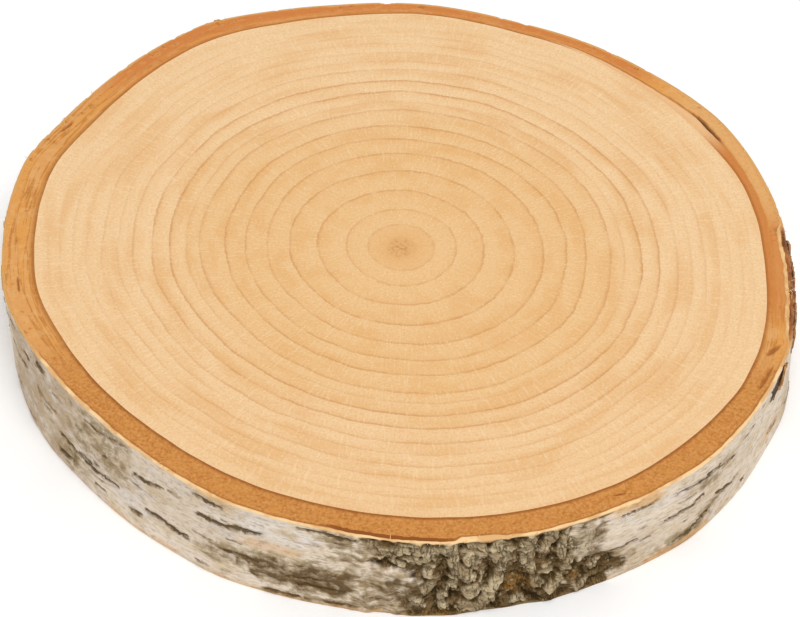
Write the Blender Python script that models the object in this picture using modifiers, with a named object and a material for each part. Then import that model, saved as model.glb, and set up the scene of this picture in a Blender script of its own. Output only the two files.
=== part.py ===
"""Birch wood slice: one round sawn straight across a birch trunk, with its bark still on.

Metres, +Z up. The sawn underside lies on z = 0, and the origin is the middle of the slice's outline.
The slice grew as one piece, so it is one solid. It starts as a turned disc, and a formula then moves
the disc's points out to the trunk's own outline and gives the bark its relief.
"""

import math

import bmesh
import bpy
from mathutils import Matrix, Vector, noise

MM = 0.001

# Driving dimensions of the sawn disc
THICKNESS = 25 * MM
TURNED_RIM = 100 * MM
TURNED_WOOD = 93 * MM
COLUMNS = 300
WALL_ROWS = 11
EDGE_DROP = 0.9 * MM  # the bark's top edge is worn down this far
FOOT_ROUND = 0.6 * MM  # the lower edge is broken by the saw
MERGE = 1e-5

# Where the bark's sawn face has points, as shares of the way from the wood to the rim
BARK_SHARES = (0.0, 0.12, 0.3, 0.5, 0.68, 0.86)
UNDERSIDE_SHARE = 0.86

# The trunk's outline at bearings in degrees, anticlockwise from +X: the radius of the rim, the
# thickness of the bark, and how much further out the foot of the wall stands than the rim, in mm
OUTLINE = (
    (0, 101.6, 6.9, 0.3),
    (15, 101.2, 7.0, 0.0),
    (30, 101.6, 8.2, -0.6),
    (45, 99.7, 6.5, -0.9),
    (58, 99.3, 5.1, -1.0),
    (70, 98.8, 4.7, -0.8),
    (85, 101.2, 4.8, -0.2),
    (100, 102.0, 5.6, 0.3),
    (110, 104.0, 6.6, 0.7),
    (120, 106.9, 7.4, 1.0),
    (130, 105.6, 6.9, 0.9),
    (143, 104.0, 7.1, 0.6),
    (152, 103.8, 7.6, 0.4),
    (160, 105.2, 8.2, 0.1),
    (170, 103.4, 7.6, -0.2),
    (180, 101.8, 7.4, -0.5),
    (190, 101.0, 7.9, -0.4),
    (200, 98.0, 7.8, 1.9),
    (210, 95.4, 6.8, 3.4),
    (220, 93.8, 6.3, 3.7),
    (230, 93.6, 6.7, 3.9),
    (245, 95.4, 7.7, 3.1),
    (260, 96.3, 6.9, 2.8),
    (275, 99.5, 7.7, 1.4),
    (290, 101.8, 7.5, 0.5),
    (305, 103.4, 6.9, 0.8),
    (315, 105.0, 7.6, 0.2),
    (330, 104.8, 6.8, 0.0),
    (342, 104.4, 7.3, 0.7),
    (352, 102.2, 6.9, 0.5),
)

# Rugged old bark: middle bearing and half width in degrees, lowest and highest mm, ridge height in mm
RUGGED = (
    (281, 16, -5, 30, 1.1),
    (257, 8, 3, 14, 0.45),
    (101, 11, -5, 30, 0.9),
)
RIDGE_WIDE = 5.5  # mm across one bark plate
RIDGE_TALL = 15.0  # mm up one bark plate
FISSURE_SHARE = 0.3

# Lenticels, the lips of cork that lie level in birch bark: bearing in degrees, mm above the
# underside, half length in mm, how far it stands out in mm
LENTICELS = (
    (218, 9.6, 13.0, 0.5),
    (213, 4.8, 3.5, 0.4),
    (221, 7.0, 3.5, 0.35),
    (222, 22.0, 9.0, 0.3),
    (231, 17.7, 5.5, 0.4),
    (235, 8.2, 7.0, 0.45),
    (242, 22.4, 5.0, 0.4),
    (245, 17.8, 9.5, 0.55),
    (261, 23.0, 8.0, 0.4),
    (301, 11.0, 5.0, 0.35),
    (300, 5.7, 4.0, 0.35),
    (303, 21.7, 6.0, 0.3),
    (312, 13.3, 6.5, 0.5),
    (315, 19.6, 9.0, 0.4),
    (321, 8.7, 5.0, 0.45),
    (312, 4.5, 8.0, 0.3),
    (338, 7.0, 5.0, 0.3),
    (356, 12.0, 7.0, 0.4),
    (12, 17.5, 9.0, 0.45),
    (24, 6.5, 6.0, 0.4),
    (38, 13.0, 11.0, 0.5),
    (54, 20.0, 6.5, 0.4),
    (63, 5.0, 8.5, 0.45),
    (78, 15.0, 7.0, 0.4),
    (124, 9.0, 10.0, 0.5),
    (134, 19.0, 6.0, 0.4),
    (147, 13.5, 8.5, 0.45),
    (158, 5.5, 5.5, 0.4),
    (169, 18.5, 11.0, 0.5),
    (184, 8.5, 7.5, 0.45),
    (197, 15.5, 6.0, 0.4),
)
LENTICEL_TALL = 1.5  # mm from the lip's crest to its foot

# The split between the wood and its bark: bearings in degrees, share across the bark, depth in mm
SPLIT_FROM = 27
SPLIT_TO = 56
SPLIT_SHARE = 0.5
SPLIT_WIDE = 0.19
SPLIT_DEEP = 2.2

# The chip broken out of the wall under the rim: bearing in degrees, the rest in mm
CHIP_BEARING = 338.5
CHIP_HIGH = 21.0
CHIP_WIDE = 6.0
CHIP_TALL = 5.0
CHIP_DEEP = 1.8

CAMBIUM_SHARE = 0.12
CAMBIUM_WIDE = 0.15
CAMBIUM_DEEP = 0.3
SAW_ROUGH = 0.25
SWELL = 0.45

SAWN_WOOD_COLOUR = (0.80, 0.56, 0.31, 1)
INNER_BARK_COLOUR = (0.46, 0.20, 0.07, 1)
OUTER_BARK_COLOUR = (0.60, 0.52, 0.44, 1)


def turn_between(bearing, middle):
    """Degrees from one bearing to another, the short way round."""
    return (bearing - middle + 180) % 360 - 180


def outline_at(bearing):
    """Rim radius, bark thickness and foot step, in mm, on smooth closed curves through the stations."""
    count = len(OUTLINE)
    after = next((i for i, station in enumerate(OUTLINE) if station[0] > bearing), count)
    four = []
    for index in range(after - 2, after + 2):
        laps, place = divmod(index, count)
        four.append((OUTLINE[place][0] + 360 * laps, *OUTLINE[place][1:]))
    first, low, high, last = four
    span = high[0] - low[0]
    share = (bearing - low[0]) / span
    values = []
    for column in (1, 2, 3):
        slope_low = (high[column] - first[column]) / (high[0] - first[0]) * span
        slope_high = (last[column] - low[column]) / (last[0] - low[0]) * span
        values.append(
            (2 * share**3 - 3 * share**2 + 1) * low[column]
            + (share**3 - 2 * share**2 + share) * slope_low
            + (3 * share**2 - 2 * share**3) * high[column]
            + (share**3 - share**2) * slope_high
        )
    return values


def smooth(value):
    """A step from 0 to 1 with soft ends."""
    value = min(max(value, 0.0), 1.0)
    return value * value * (3 - 2 * value)


def bump(distance, reach):
    """1 at no distance, 0 from the reach on."""
    return smooth(1 - abs(distance) / reach)


def rugged_relief(bearing, arc, height):
    """Plates of old bark with fissures between them, in mm out of the wall."""
    total = 0.0
    for middle, half, low, high, ridge in RUGGED:
        across = smooth((half - abs(turn_between(bearing, middle))) / 5 + 0.5)
        upward = smooth((height - low) / 4) * smooth((high - height) / 4)
        if across * upward == 0:
            continue
        wander = 1.6 * noise.noise(Vector((arc / 7, height / 9, middle)))
        at = Vector(((arc + wander) / RIDGE_WIDE, height / RIDGE_TALL, middle))
        nearest = noise.voronoi(at)[0]
        plate = smooth((nearest[1] - nearest[0]) / FISSURE_SHARE)
        total += across * upward * ridge * (1.5 * plate - 0.7)
    return total


def lenticel_relief(bearing, height):
    """The lips of cork, in mm out of the wall."""
    total = 0.0
    for middle, high, half, rise in LENTICELS:
        along = math.radians(turn_between(bearing, middle)) * TURNED_RIM / MM
        total = max(total, rise * bump(along, half) * bump(height - high, LENTICEL_TALL * 1.4))
    return total


def chip_relief(bearing, height):
    """The chip under the rim, in mm into the wall."""
    along = math.radians(turn_between(bearing, CHIP_BEARING)) * TURNED_RIM / MM
    return -CHIP_DEEP * bump(along, CHIP_WIDE) * bump(height - CHIP_HIGH, CHIP_TALL)


def wall_relief(bearing, height):
    """Everything that stands out of the bark's wall or into it, in mm."""
    turn = math.radians(bearing)
    around = Vector((math.cos(turn), math.sin(turn), 0)) * 5.5
    swell = SWELL * noise.noise(around + Vector((0, 0, height / 16)))
    arc = turn * TURNED_RIM / MM
    return (
        swell
        + rugged_relief(bearing, arc, height)
        + lenticel_relief(bearing, height)
        + chip_relief(bearing, height)
    )


def sawn_bark_dip(bearing, share, point):
    """How far the bark's sawn face lies under the wood's, in mm."""
    split = bump(turn_between(bearing, (SPLIT_FROM + SPLIT_TO) / 2), (SPLIT_TO - SPLIT_FROM) / 2 + 6)
    dip = CAMBIUM_DEEP * bump(share - CAMBIUM_SHARE, CAMBIUM_WIDE)
    dip += SPLIT_DEEP * split * bump(share - SPLIT_SHARE, SPLIT_WIDE)
    dip += SAW_ROUGH * smooth(share * 4) * (0.5 + noise.noise(point / (4 * MM)))
    return max(dip, 0)


def grown(point):
    """Where a point of the turned disc lies on the real slice."""
    across = math.hypot(point.x, point.y)
    if across < MERGE:
        return point
    turn = math.atan2(point.y, point.x)
    bearing = math.degrees(turn) % 360
    rim, bark, foot = outline_at(bearing)
    height = point.z / MM
    share = (across - TURNED_WOOD) / (TURNED_RIM - TURNED_WOOD)
    if share <= 0:
        radius = (rim - bark) * across / TURNED_WOOD
    else:
        radius = rim - bark + bark * share
    down = 1 - point.z / THICKNESS
    radius += foot * down * max(share, 0)
    if share > 0.99:
        radius += wall_relief(bearing, height)
    elif share > 0 and point.z > THICKNESS / 2:
        height -= sawn_bark_dip(bearing, share, point)
    return Vector((math.cos(turn) * radius, math.sin(turn) * radius, height)) * MM


def half_section():
    """The disc's section at +X, from the middle of the top out and down to the middle of the underside."""
    bark = TURNED_RIM - TURNED_WOOD
    points = [(0, THICKNESS)]
    points += [(TURNED_WOOD + bark * share, THICKNESS) for share in BARK_SHARES]
    top, bottom = THICKNESS - EDGE_DROP, FOOT_ROUND
    points += [(TURNED_RIM, top + (bottom - top) * row / WALL_ROWS) for row in range(WALL_ROWS + 1)]
    points += [(TURNED_WOOD + bark * UNDERSIDE_SHARE, 0), (0, 0)]
    return points


def turned_disc():
    """The plain disc, as a profile turned round the trunk's axis."""
    mesh = bpy.data.meshes.new("section")
    points = half_section()
    edges = [(index, index + 1) for index in range(len(points) - 1)]
    mesh.from_pydata([(radius, 0, height) for radius, height in points], edges, [])
    section = bpy.data.objects.new("section", mesh)
    bpy.context.scene.collection.objects.link(section)
    turning = section.modifiers.new("turn", "SCREW")
    turning.axis = "Z"
    turning.angle = math.tau
    turning.steps = COLUMNS
    turning.render_steps = COLUMNS
    turning.use_merge_vertices = True
    turning.merge_threshold = MERGE
    graph = bpy.context.evaluated_depsgraph_get()
    disc = bpy.data.meshes.new_from_object(section.evaluated_get(graph))
    bpy.data.objects.remove(section)
    return disc


def material(name, colour, roughness):
    made = bpy.data.materials.new(name)
    made.use_nodes = True
    shader = made.node_tree.nodes["Principled BSDF"]
    shader.inputs["Base Color"].default_value = colour
    shader.inputs["Roughness"].default_value = roughness
    shader.inputs["Metallic"].default_value = 0
    return made


def finish_faces(mesh):
    """Sawn wood inside the cambium, inner bark outside it, and outer bark on the wall."""
    mesh.materials.append(material("sawn birch", SAWN_WOOD_COLOUR, 0.6))
    mesh.materials.append(material("inner bark", INNER_BARK_COLOUR, 0.8))
    mesh.materials.append(material("white bark", OUTER_BARK_COLOUR, 0.75))
    for face in mesh.polygons:
        across = math.hypot(face.center.x, face.center.y)
        if abs(face.normal.z) < 0.5:
            face.material_index = 2
        elif across > TURNED_WOOD:
            face.material_index = 1


def wood_slice():
    mesh = turned_disc()
    finish_faces(mesh)
    shaped = bmesh.new()
    shaped.from_mesh(mesh)
    for vertex in shaped.verts:
        vertex.co = grown(vertex.co)
    bmesh.ops.remove_doubles(shaped, verts=shaped.verts, dist=MERGE)
    shaped.to_mesh(mesh)
    shaped.free()
    middle = [
        (min(v.co[axis] for v in mesh.vertices) + max(v.co[axis] for v in mesh.vertices)) / 2
        for axis in (0, 1)
    ]
    mesh.transform(Matrix.Translation((-middle[0], -middle[1], 0)))
    mesh.shade_smooth()
    mesh.set_sharp_from_angle(angle=math.radians(40))
    mesh.name = "wood_slice"
    return bpy.data.objects.new("wood_slice", mesh)


def main():
    for old in list(bpy.data.objects):
        bpy.data.objects.remove(old)
    collection = bpy.data.collections.new("birch_wood_slice")
    bpy.context.scene.collection.children.link(collection)
    collection.objects.link(wood_slice())


main()
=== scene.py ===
"""Birch wood slice: the finish of one round sawn across a birch trunk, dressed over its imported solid.

The solid gives the outline and the bark's main forms. Here the slice becomes what the eye sees:
sanded end grain with its growth rings, granular inner bark, papery white bark with dark lenticels,
a rugged fissured patch with lichen on it, and the small breakage that a saw leaves.
Metres, +Z up. Lengths in tables and comments are millimetres, bearings are degrees round the trunk.
"""

import math

import bpy
import numpy as np
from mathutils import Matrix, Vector, noise
from mathutils.bvhtree import BVHTree


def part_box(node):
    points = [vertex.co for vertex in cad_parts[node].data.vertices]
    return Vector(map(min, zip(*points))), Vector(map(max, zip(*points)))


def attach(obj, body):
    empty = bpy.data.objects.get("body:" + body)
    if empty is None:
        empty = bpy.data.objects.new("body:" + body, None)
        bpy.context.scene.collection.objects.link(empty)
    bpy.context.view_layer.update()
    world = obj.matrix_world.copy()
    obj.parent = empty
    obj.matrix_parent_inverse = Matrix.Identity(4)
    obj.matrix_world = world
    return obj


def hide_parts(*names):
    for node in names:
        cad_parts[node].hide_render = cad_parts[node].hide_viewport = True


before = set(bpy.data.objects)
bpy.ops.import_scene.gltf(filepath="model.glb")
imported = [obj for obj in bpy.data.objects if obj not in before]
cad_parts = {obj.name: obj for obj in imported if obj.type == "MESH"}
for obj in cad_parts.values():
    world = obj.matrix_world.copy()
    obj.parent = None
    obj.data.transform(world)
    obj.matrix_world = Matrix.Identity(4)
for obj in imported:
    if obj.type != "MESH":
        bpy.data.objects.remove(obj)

bl_info = {
    "name": "Birch wood slice",
    "version": (1, 0, 0),
    "blender": (4, 5, 0),
    "location": "View3D > Sidebar > Wood slice",
    "description": "Dresses a sawn round of birch with its rings, its bark and its lichen",
    "category": "Object",
}

MM = 0.001
NODE = "wood_slice"
BODY = "root"
LOW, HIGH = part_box(NODE)
TOP = HIGH.z / MM
CAST_FROM = 0.15

# Points round the trunk, on the bark's pieces and on the sawn wood
BARK_COLUMNS = 1320
WOOD_COLUMNS = 660
WALL_ROWS = 60
NOMINAL_RADIUS = 100.0
# Stretches of the white bark's columns: first bearing, last and degrees apart, finest where it is rugged
BARK_SPANS = (
    (0, 86, 0.32),
    (86, 115, 0.25),
    (115, 266, 0.32),
    (266, 305, 0.13),
    (305, 360, 0.32),
)
# How far the inner bark steps back under the rugged patches
BARK_RECESS = 3.2

# The pith lies a little off the middle of the outline
PITH = np.array([1.2, -0.3])

# Growth rings: share of the way from the pith to the bark, and how dark the late wood's line is
YEARS = (
    (0.093, 0.5),
    (0.153, 0.6),
    (0.229, 0.8),
    (0.308, 0.85),
    (0.38, 0.75),
    (0.442, 0.75),
    (0.497, 0.9),
    (0.565, 0.7),
    (0.6, 0.35),
    (0.645, 1.0),
    (0.693, 0.9),
    (0.746, 0.65),
    (0.785, 0.4),
    (0.825, 0.5),
    (0.865, 0.4),
    (0.9, 0.35),
    (0.935, 0.3),
    (0.965, 0.2),
    (1.0, 0.0),
)
YEAR_STEPS = (0.3, 0.65, 1.0)
# The wood's radius, and how far the middle years lie to the right
WOOD_RADIUS = 95
RING_DRIFT = 1.3

# The sawn top's outline: bearing, radius of the rim and thickness of all the bark
OUTLINE = (
    (0, 101.6, 6.9),
    (15, 101.2, 6.2),
    (30, 101.6, 8.2),
    (45, 99.7, 6.5),
    (58, 99.3, 5.1),
    (70, 98.8, 4.7),
    (85, 101.2, 4.8),
    (100, 102, 5.6),
    (110, 104, 6.6),
    (120, 106.9, 7.4),
    (130, 105.6, 7.2),
    (143, 104, 7.8),
    (152, 103.8, 8.0),
    (160, 105.2, 8.4),
    (170, 103.4, 8.4),
    (180, 101.8, 8.4),
    (190, 101, 8.5),
    (200, 98, 8.4),
    (210, 95.4, 7.5),
    (220, 93.8, 7.0),
    (230, 93.6, 7.3),
    (245, 95.4, 7.9),
    (260, 96.3, 7.3),
    (275, 99.5, 7.9),
    (290, 101.8, 7.5),
    (305, 103.4, 6.9),
    (315, 105, 8.1),
    (330, 104.8, 6.8),
    (342, 104.4, 7.3),
    (352, 102.2, 6.9),
)
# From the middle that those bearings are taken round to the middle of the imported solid
OUTLINE_SHIFT = (-0.02, -0.56)

# Stretches of the slice: middle bearing, half width and the soft end inside it, all in degrees
STRETCHES = {
    # the side that the camera sees
    "front": (270, 72, 14),
    # dark rough outer bark on the right of the rim
    "husk": (353, 13, 3),
    # where wood and bark have parted, and where the split gapes
    "opened": (43, 22, 9),
    "gaping": (29, 5.0, 3.5),
    # tones of the sawn inner bark
    "pale": (22, 20, 8),
    "deep": (6, 26, 10),
    "ruddy": (106, 42, 14),
    "ruddy by the split": (59, 18, 7),
    "seam": (269, 11, 4),
}
# Where the paper is thicker or thinner at the rim: the same three, and the millimetres it gains
PAPER_SWELLS = (
    (281.4, 3.6, 1.3, 0.8),
    (270, 9, 3, -0.3),
    (292, 7, 3, -0.2),
)

# Patches on the wall: middle bearing, half width in degrees, lowest and highest point, strength
RUGGED = (
    (285.2, 8.8, -6, 32, 1.0),
    (272.4, 6.2, 14.5, 32, 0.72),
    (274.6, 5.0, -6, 12.5, 0.5),
    (278, 5.0, -6, 13, 1.0),
    (276.4, 3.2, -6, 32, 0.9),
    (295.5, 3.2, 9, 32, 0.42),
    (295.6, 4.2, -6, 10.5, 0.85),
    (298.5, 2.6, 1, 8, 0.42),
    (101, 11.0, -6, 32, 1.0),
    (92, 5.0, -6, 14, 0.8),
)
MOTTLED = (
    (257, 8.5, 3.5, 13, 1.0),
    (247, 6.0, 6.0, 11, 0.6),
    (264, 4.5, 15.5, 27, 0.6),
    (269, 5.0, -2, 12, 0.7),
    (271.5, 4.5, 9.0, 16.5, 0.4),
    (260, 9.0, -2, 3.0, 0.7),
    (220, 6.5, 12, 24, 0.45),
    (213, 4.0, 2.0, 10, 0.5),
    (299, 3.2, 2.0, 10, 0.6),
    (311, 4.5, -1, 5.5, 0.75),
    (315, 3.0, 4.0, 9.0, 0.6),
    (317, 2.5, 15, 21, 0.5),
    (84, 9.0, 2.0, 12, 0.9),
    (114, 6.0, 8.0, 27, 0.8),
    (52, 9.0, -2, 4.0, 0.6),
    (20, 7.0, 9.0, 16, 0.45),
    (172, 8.0, 2.0, 9.0, 0.7),
    (140, 6.0, 14, 25, 0.4),
)
# The two rugged patches' middles, and which way round the plates below lie in each
PATCHES = ((286.5, 1), (101, -1))
# Plates of old bark: degrees from a patch's middle, height, half width, half height, lean, lift
PLATES = (
    (-6.0, 19.8, 3.0, 5.2, 0.05, 1.0),
    (-6.9, 13.6, 1.7, 3.0, 0.15, 0.9),
    (-4.9, 14.0, 1.0, 3.6, 0.0, 0.7),
    (-2.3, 19.8, 3.1, 4.8, -0.15, 1.0),
    (-2.6, 13.0, 1.3, 4.8, 0.15, 0.9),
    (1.3, 18.6, 2.0, 6.6, 0.1, 1.0),
    (1.9, 12.4, 1.4, 3.0, -0.1, 0.85),
    (4.1, 20.4, 1.7, 5.6, 0.2, 1.0),
    (6.3, 19.0, 1.3, 6.4, 0.1, 0.9),
    (9.0, 17.6, 3.4, 7.4, 0.0, 0.9),
    (-3.9, 6.4, 1.8, 6.4, 0.3, 1.0),
    (-6.3, 8.0, 2.4, 2.4, 0.2, 0.9),
    (-6.6, 2.4, 3.2, 2.0, -0.1, 0.9),
    (-8.6, 17.0, 1.5, 5.0, -0.15, 0.9),
    (-9.4, 22.6, 2.6, 2.4, 0.1, 0.9),
    (-8.8, 11.0, 1.2, 3.6, 0.15, 0.6),
    (-10.2, 4.8, 1.4, 3.2, 0.2, 0.7),
    (2.5, 6.6, 1.7, 1.5, -0.3, 0.9),
    (4.6, 4.4, 2.2, 1.6, -0.3, 0.9),
    (5.8, 6.6, 1.1, 2.0, 0.2, 0.8),
    (0.2, 2.2, 1.8, 1.6, 0.0, 0.7),
    (4.0, 10.4, 1.8, 2.6, 0.2, 0.6),
    (6.9, 10.4, 1.5, 2.8, 0.1, 0.7),
    (8.6, 2.6, 3.0, 1.5, 0.0, 0.7),
    (10.8, 7.6, 1.6, 2.2, 0.2, 0.5),
    (-11.7, 20.4, 2.0, 3.2, 0.1, 0.8),
    (-13.9, 18.2, 2.2, 2.0, 0.1, 0.7),
    (-13.4, 22.8, 2.0, 2.0, 0.0, 0.7),
    (-12.0, 14.4, 1.8, 2.4, 0.1, 0.8),
    (-12.3, 9.4, 1.9, 2.8, 0.2, 0.8),
    (-13.8, 5.2, 2.2, 2.2, 0.1, 0.7),
    (-15.6, 21.6, 2.6, 2.6, 0.1, 0.65),
    (-16.0, 17.0, 2.4, 1.6, 0.1, 0.6),
    (-18.2, 19.4, 2.6, 2.0, 0.1, 0.55),
    (-19.8, 22.8, 2.6, 1.7, 0.0, 0.55),
)

# Where the white layer has worn through to the peach one under it
PEACH = (
    (303, 4.0, 22, 28, 1.0),
    (243, 3.0, 23, 28, 0.7),
    (252, 4.0, 14, 16.5, 0.6),
    (311, 6.0, -3, 2.5, 0.9),
    (285, 14.0, -3, 1.2, 0.9),
    (255, 12.0, -3, 0.8, 0.8),
    (230, 7.0, -3, 1.4, 0.7),
    (334, 3.0, 5.0, 8.5, 0.6),
    (120, 8.0, -3, 1.5, 0.8),
    (60, 6.0, 21, 28, 0.8),
    (10, 5.0, -3, 2.0, 0.7),
    (150, 5.0, 10, 13, 0.6),
)

# Rusty spots in the furrows
RUSTY = (
    (286.8, 0.75, 5.0, 9.5, 0.85),
    (293.6, 0.9, 5.5, 8.0, 0.5),
    (276.5, 0.9, -2.5, 1.0, 0.6),
    (100.5, 0.8, 5.0, 10, 0.85),
    (94.0, 1.2, 5.5, 8.5, 0.5),
)

# Smooth bark that is dull with dust
DUSTY = (
    (204, 11.0, -6, 32, 0.75),
    (221, 8.0, 8, 27, 0.4),
    (236, 12.0, 8, 27, 0.2),
    (214, 6.0, -3, 8, 0.4),
    (300, 7.0, -3, 14, 0.35),
    (318, 8.0, 2, 22, 0.25),
    (346, 9.0, -3, 12, 0.4),
    (28, 14.0, 8, 27, 0.5),
    (66, 12.0, -3, 16, 0.45),
    (128, 9.0, 6, 27, 0.4),
    (162, 14.0, -3, 18, 0.5),
)

# Lenticels: bearing, height, half length, half height, slant in mm per mm, darkness
LENTICELS = (
    (218.3, 9.2, 13.0, 0.55, 0.0, 1.0),
    (213.0, 4.6, 3.5, 0.5, 0.08, 0.9),
    (220.6, 7.1, 3.4, 0.35, 0.05, 0.7),
    (221.5, 4.3, 2.6, 0.4, -0.04, 0.8),
    (222.0, 21.8, 9.5, 0.5, 0.13, 0.6),
    (231.0, 17.6, 5.5, 0.6, 0.15, 0.85),
    (236.0, 19.0, 2.2, 0.4, 0.0, 0.6),
    (234.8, 8.2, 7.4, 0.65, -0.03, 1.0),
    (229.0, 5.5, 2.6, 0.45, 0.1, 0.8),
    (242.0, 22.4, 4.8, 0.55, 0.0, 0.85),
    (245.6, 17.8, 9.6, 0.8, 0.09, 1.0),
    (241.5, 11.0, 3.5, 0.4, 0.0, 0.6),
    (247.5, 9.8, 5.5, 0.6, 0.04, 0.8),
    (254.0, 1.4, 5.0, 0.6, 0.0, 0.9),
    (262.5, 1.5, 4.5, 0.6, 0.0, 0.8),
    (260.5, 23.3, 8.0, 0.55, -0.06, 0.85),
    (260.0, 6.0, 7.0, 0.6, 0.0, 0.9),
    (257.0, 8.0, 6.0, 0.5, 0.05, 0.8),
    (301.0, 11.0, 5.2, 0.45, 0.03, 0.75),
    (300.0, 5.7, 4.0, 0.5, -0.05, 0.85),
    (304.0, 21.7, 5.5, 0.45, 0.05, 0.8),
    (311.5, 13.3, 6.4, 0.65, 0.1, 1.0),
    (314.0, 20.1, 7.5, 0.45, 0.0, 0.85),
    (319.5, 18.6, 3.5, 0.45, -0.14, 0.7),
    (320.3, 8.9, 5.0, 0.6, -0.15, 1.0),
    (313.0, 5.0, 6.0, 0.6, 0.3, 0.8),
    (334.0, 7.0, 3.5, 0.35, 0.1, 0.4),
    (204.5, 22.5, 2.5, 1.0, 0.0, 0.7),
    (207.0, 15.0, 5.0, 0.7, -0.1, 0.5),
    (197.0, 15.5, 6.0, 0.5, 0.0, 0.7),
    (342.0, 4.5, 4.0, 0.5, 0.0, 0.7),
    (356.0, 12.0, 7.0, 0.6, 0.05, 0.9),
    (12.0, 17.5, 9.0, 0.6, -0.04, 1.0),
    (24.0, 6.5, 6.0, 0.5, 0.0, 0.9),
    (38.0, 13.0, 11.0, 0.7, 0.03, 1.0),
    (54.0, 20.0, 6.5, 0.5, 0.0, 0.8),
    (63.0, 5.0, 8.5, 0.6, 0.05, 1.0),
    (78.0, 15.0, 7.0, 0.5, -0.05, 0.8),
    (124.0, 9.0, 10.0, 0.7, 0.0, 1.0),
    (134.0, 19.0, 6.0, 0.5, 0.06, 0.8),
    (147.0, 13.5, 8.5, 0.6, -0.03, 0.9),
    (158.0, 5.5, 5.5, 0.5, 0.0, 0.9),
    (169.0, 18.5, 11.0, 0.7, 0.02, 1.0),
    (184.0, 8.5, 7.5, 0.6, 0.05, 0.9),
)
SMALL_LENTICELS = 170
LENTICEL_SEED = 11

# The split where wood and bark have parted: bearing and share across the bark, end to end
SPLIT = (
    (21, 0.42),
    (27, 0.48),
    (32, 0.5),
    (38, 0.38),
    (46, 0.32),
    (62, 0.3),
)

# Scars in the sawn inner bark: bearing, share across the bark, half length, half width, slant
SCARS = (
    (338.5, 0.55, 2.4, 0.7, 0.5),
    (333.0, 0.72, 4.5, 0.45, 0.05),
    (302.0, 0.5, 1.5, 0.3, 0.2),
    (188.0, 0.6, 3.0, 0.3, 0.0),
    (152.0, 0.75, 2.5, 0.4, 0.1),
)

# Where fibres stand on the sawn edge of the bark: middle bearing, half width, strength
FRAYED = (
    (281, 12, 0.3),
    (336, 6, 0.4),
    (148, 8, 0.5),
    (176, 5, 0.6),
)

# Flakes of outer bark that stand off the rim: bearings, heights, stand-off at foot and top, tone
FLAKES = (
    (341.0, 350.5, 18.0, 24.4, 0.1, 0.5, 0.3),
    (349.0, 356.5, 16.5, 24.6, 0.1, 0.6, 0.1),
    (355.5, 362.5, 19.0, 24.6, 0.1, 0.5, 0.5),
    (334.6, 338.6, 17.0, 24.0, 0.1, 0.9, 0.7),
    (182.5, 188.0, 20.5, 24.7, 0.0, 0.25, 1.0),
    (171.0, 175.5, 21.5, 24.7, 0.0, 0.2, 1.0),
    (117.0, 121.0, 22.0, 24.6, 0.0, 0.3, 0.8),
)
FLAKE_COLUMNS = 40
FLAKE_ROWS = 12
FLAKE_THICK = 0.45

# The hollow where a chip broke out: bearing, height, half width and half height
CHIP = (334.8, 22.0, 4.2, 3.4)

# Draws of the crumbs of lichen and of the torn fibres
LICHEN_SEED = 4
FIBRE_SEED = 9

# The table's width, the lamp's place and width, and what the camera looks at, all in metres
FLOOR_WIDTH = 8
LAMP_PLACE = (0.3, -0.7, 2.2)
LAMP_WIDTH = 1.6
LOOK_AT = (0.001, -0.01, TOP * MM / 2)
# The camera's sensor and lens in mm
SENSOR = 36
LENS = 121.5


# Settings


def linear(code):
    """An sRGB hex colour as linear red, green and blue."""
    shares = [int(code[start : start + 2], 16) / 255 for start in (1, 3, 5)]
    return tuple(s / 12.92 if s <= 0.04045 else ((s + 0.055) / 1.055) ** 2.4 for s in shares)


def colour_setting(name, description, code):
    """A colour that a user can change, given as sRGB hex."""
    return bpy.props.FloatVectorProperty(
        name=name,
        description=description,
        default=linear(code),
        size=3,
        min=0,
        max=1,
        subtype="COLOR",
    )


def length_setting(name, description, millimetres):
    """A length that a user can change."""
    return bpy.props.FloatProperty(
        name=name,
        description=description,
        default=millimetres * MM,
        min=0,
        unit="LENGTH",
    )


class SawnWoodSettings(bpy.types.PropertyGroup):
    """Sanded birch end grain"""

    outer: colour_setting("Outer wood", "Young pale wood near the bark", "#E9C597")
    middle: colour_setting("Heart wood", "Older, warmer wood round the pith", "#E4BA84")
    late: colour_setting("Late wood", "Denser wood at the end of a year", "#DAA362")
    line: colour_setting("Year line", "Thin dark line where growth stopped", "#B26F30")
    pale: colour_setting("Pale cells", "Palest cells and rays", "#F7DDB6")
    pith: colour_setting("Pith", "Soft brown middle", "#A9682E")
    line_width: length_setting("Line width", "Width of a year line", 0.6)
    wander: length_setting("Wander", "How far the rings stray from the outline's shape", 0.8)


class InnerBarkSettings(bpy.types.PropertyGroup):
    """Sawn inner bark"""

    body: colour_setting("Inner bark", "Granular orange-brown bark", "#BC7A38")
    pale: colour_setting("Pale grain", "Pale cork cells in it", "#D89B5A")
    dark: colour_setting("Dark grain", "Dark cells and the cambium line", "#8A4B1B")
    layer: colour_setting("Bast layer", "Clean-cut bast", "#D9984F")
    red: colour_setting("Reddish bark", "Reddish patches in it", "#CB7B3E")
    tan: colour_setting("Outer bast", "Paler bark outside the split", "#DDAA6C")
    strip: colour_setting("Torn strip", "Wood that came away with the bark", "#E6BA88")
    # painted shade: the dark colour put at the bottom of the split
    crevice_shade: colour_setting("Crevice", "Dark bottom of the split", "#5E3214")
    edge_line: length_setting("Edge line", "Width of the dark line on each side", 0.6)
    split_depth: length_setting("Split depth", "Depth of the gap between wood and bark", 2.2)


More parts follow.
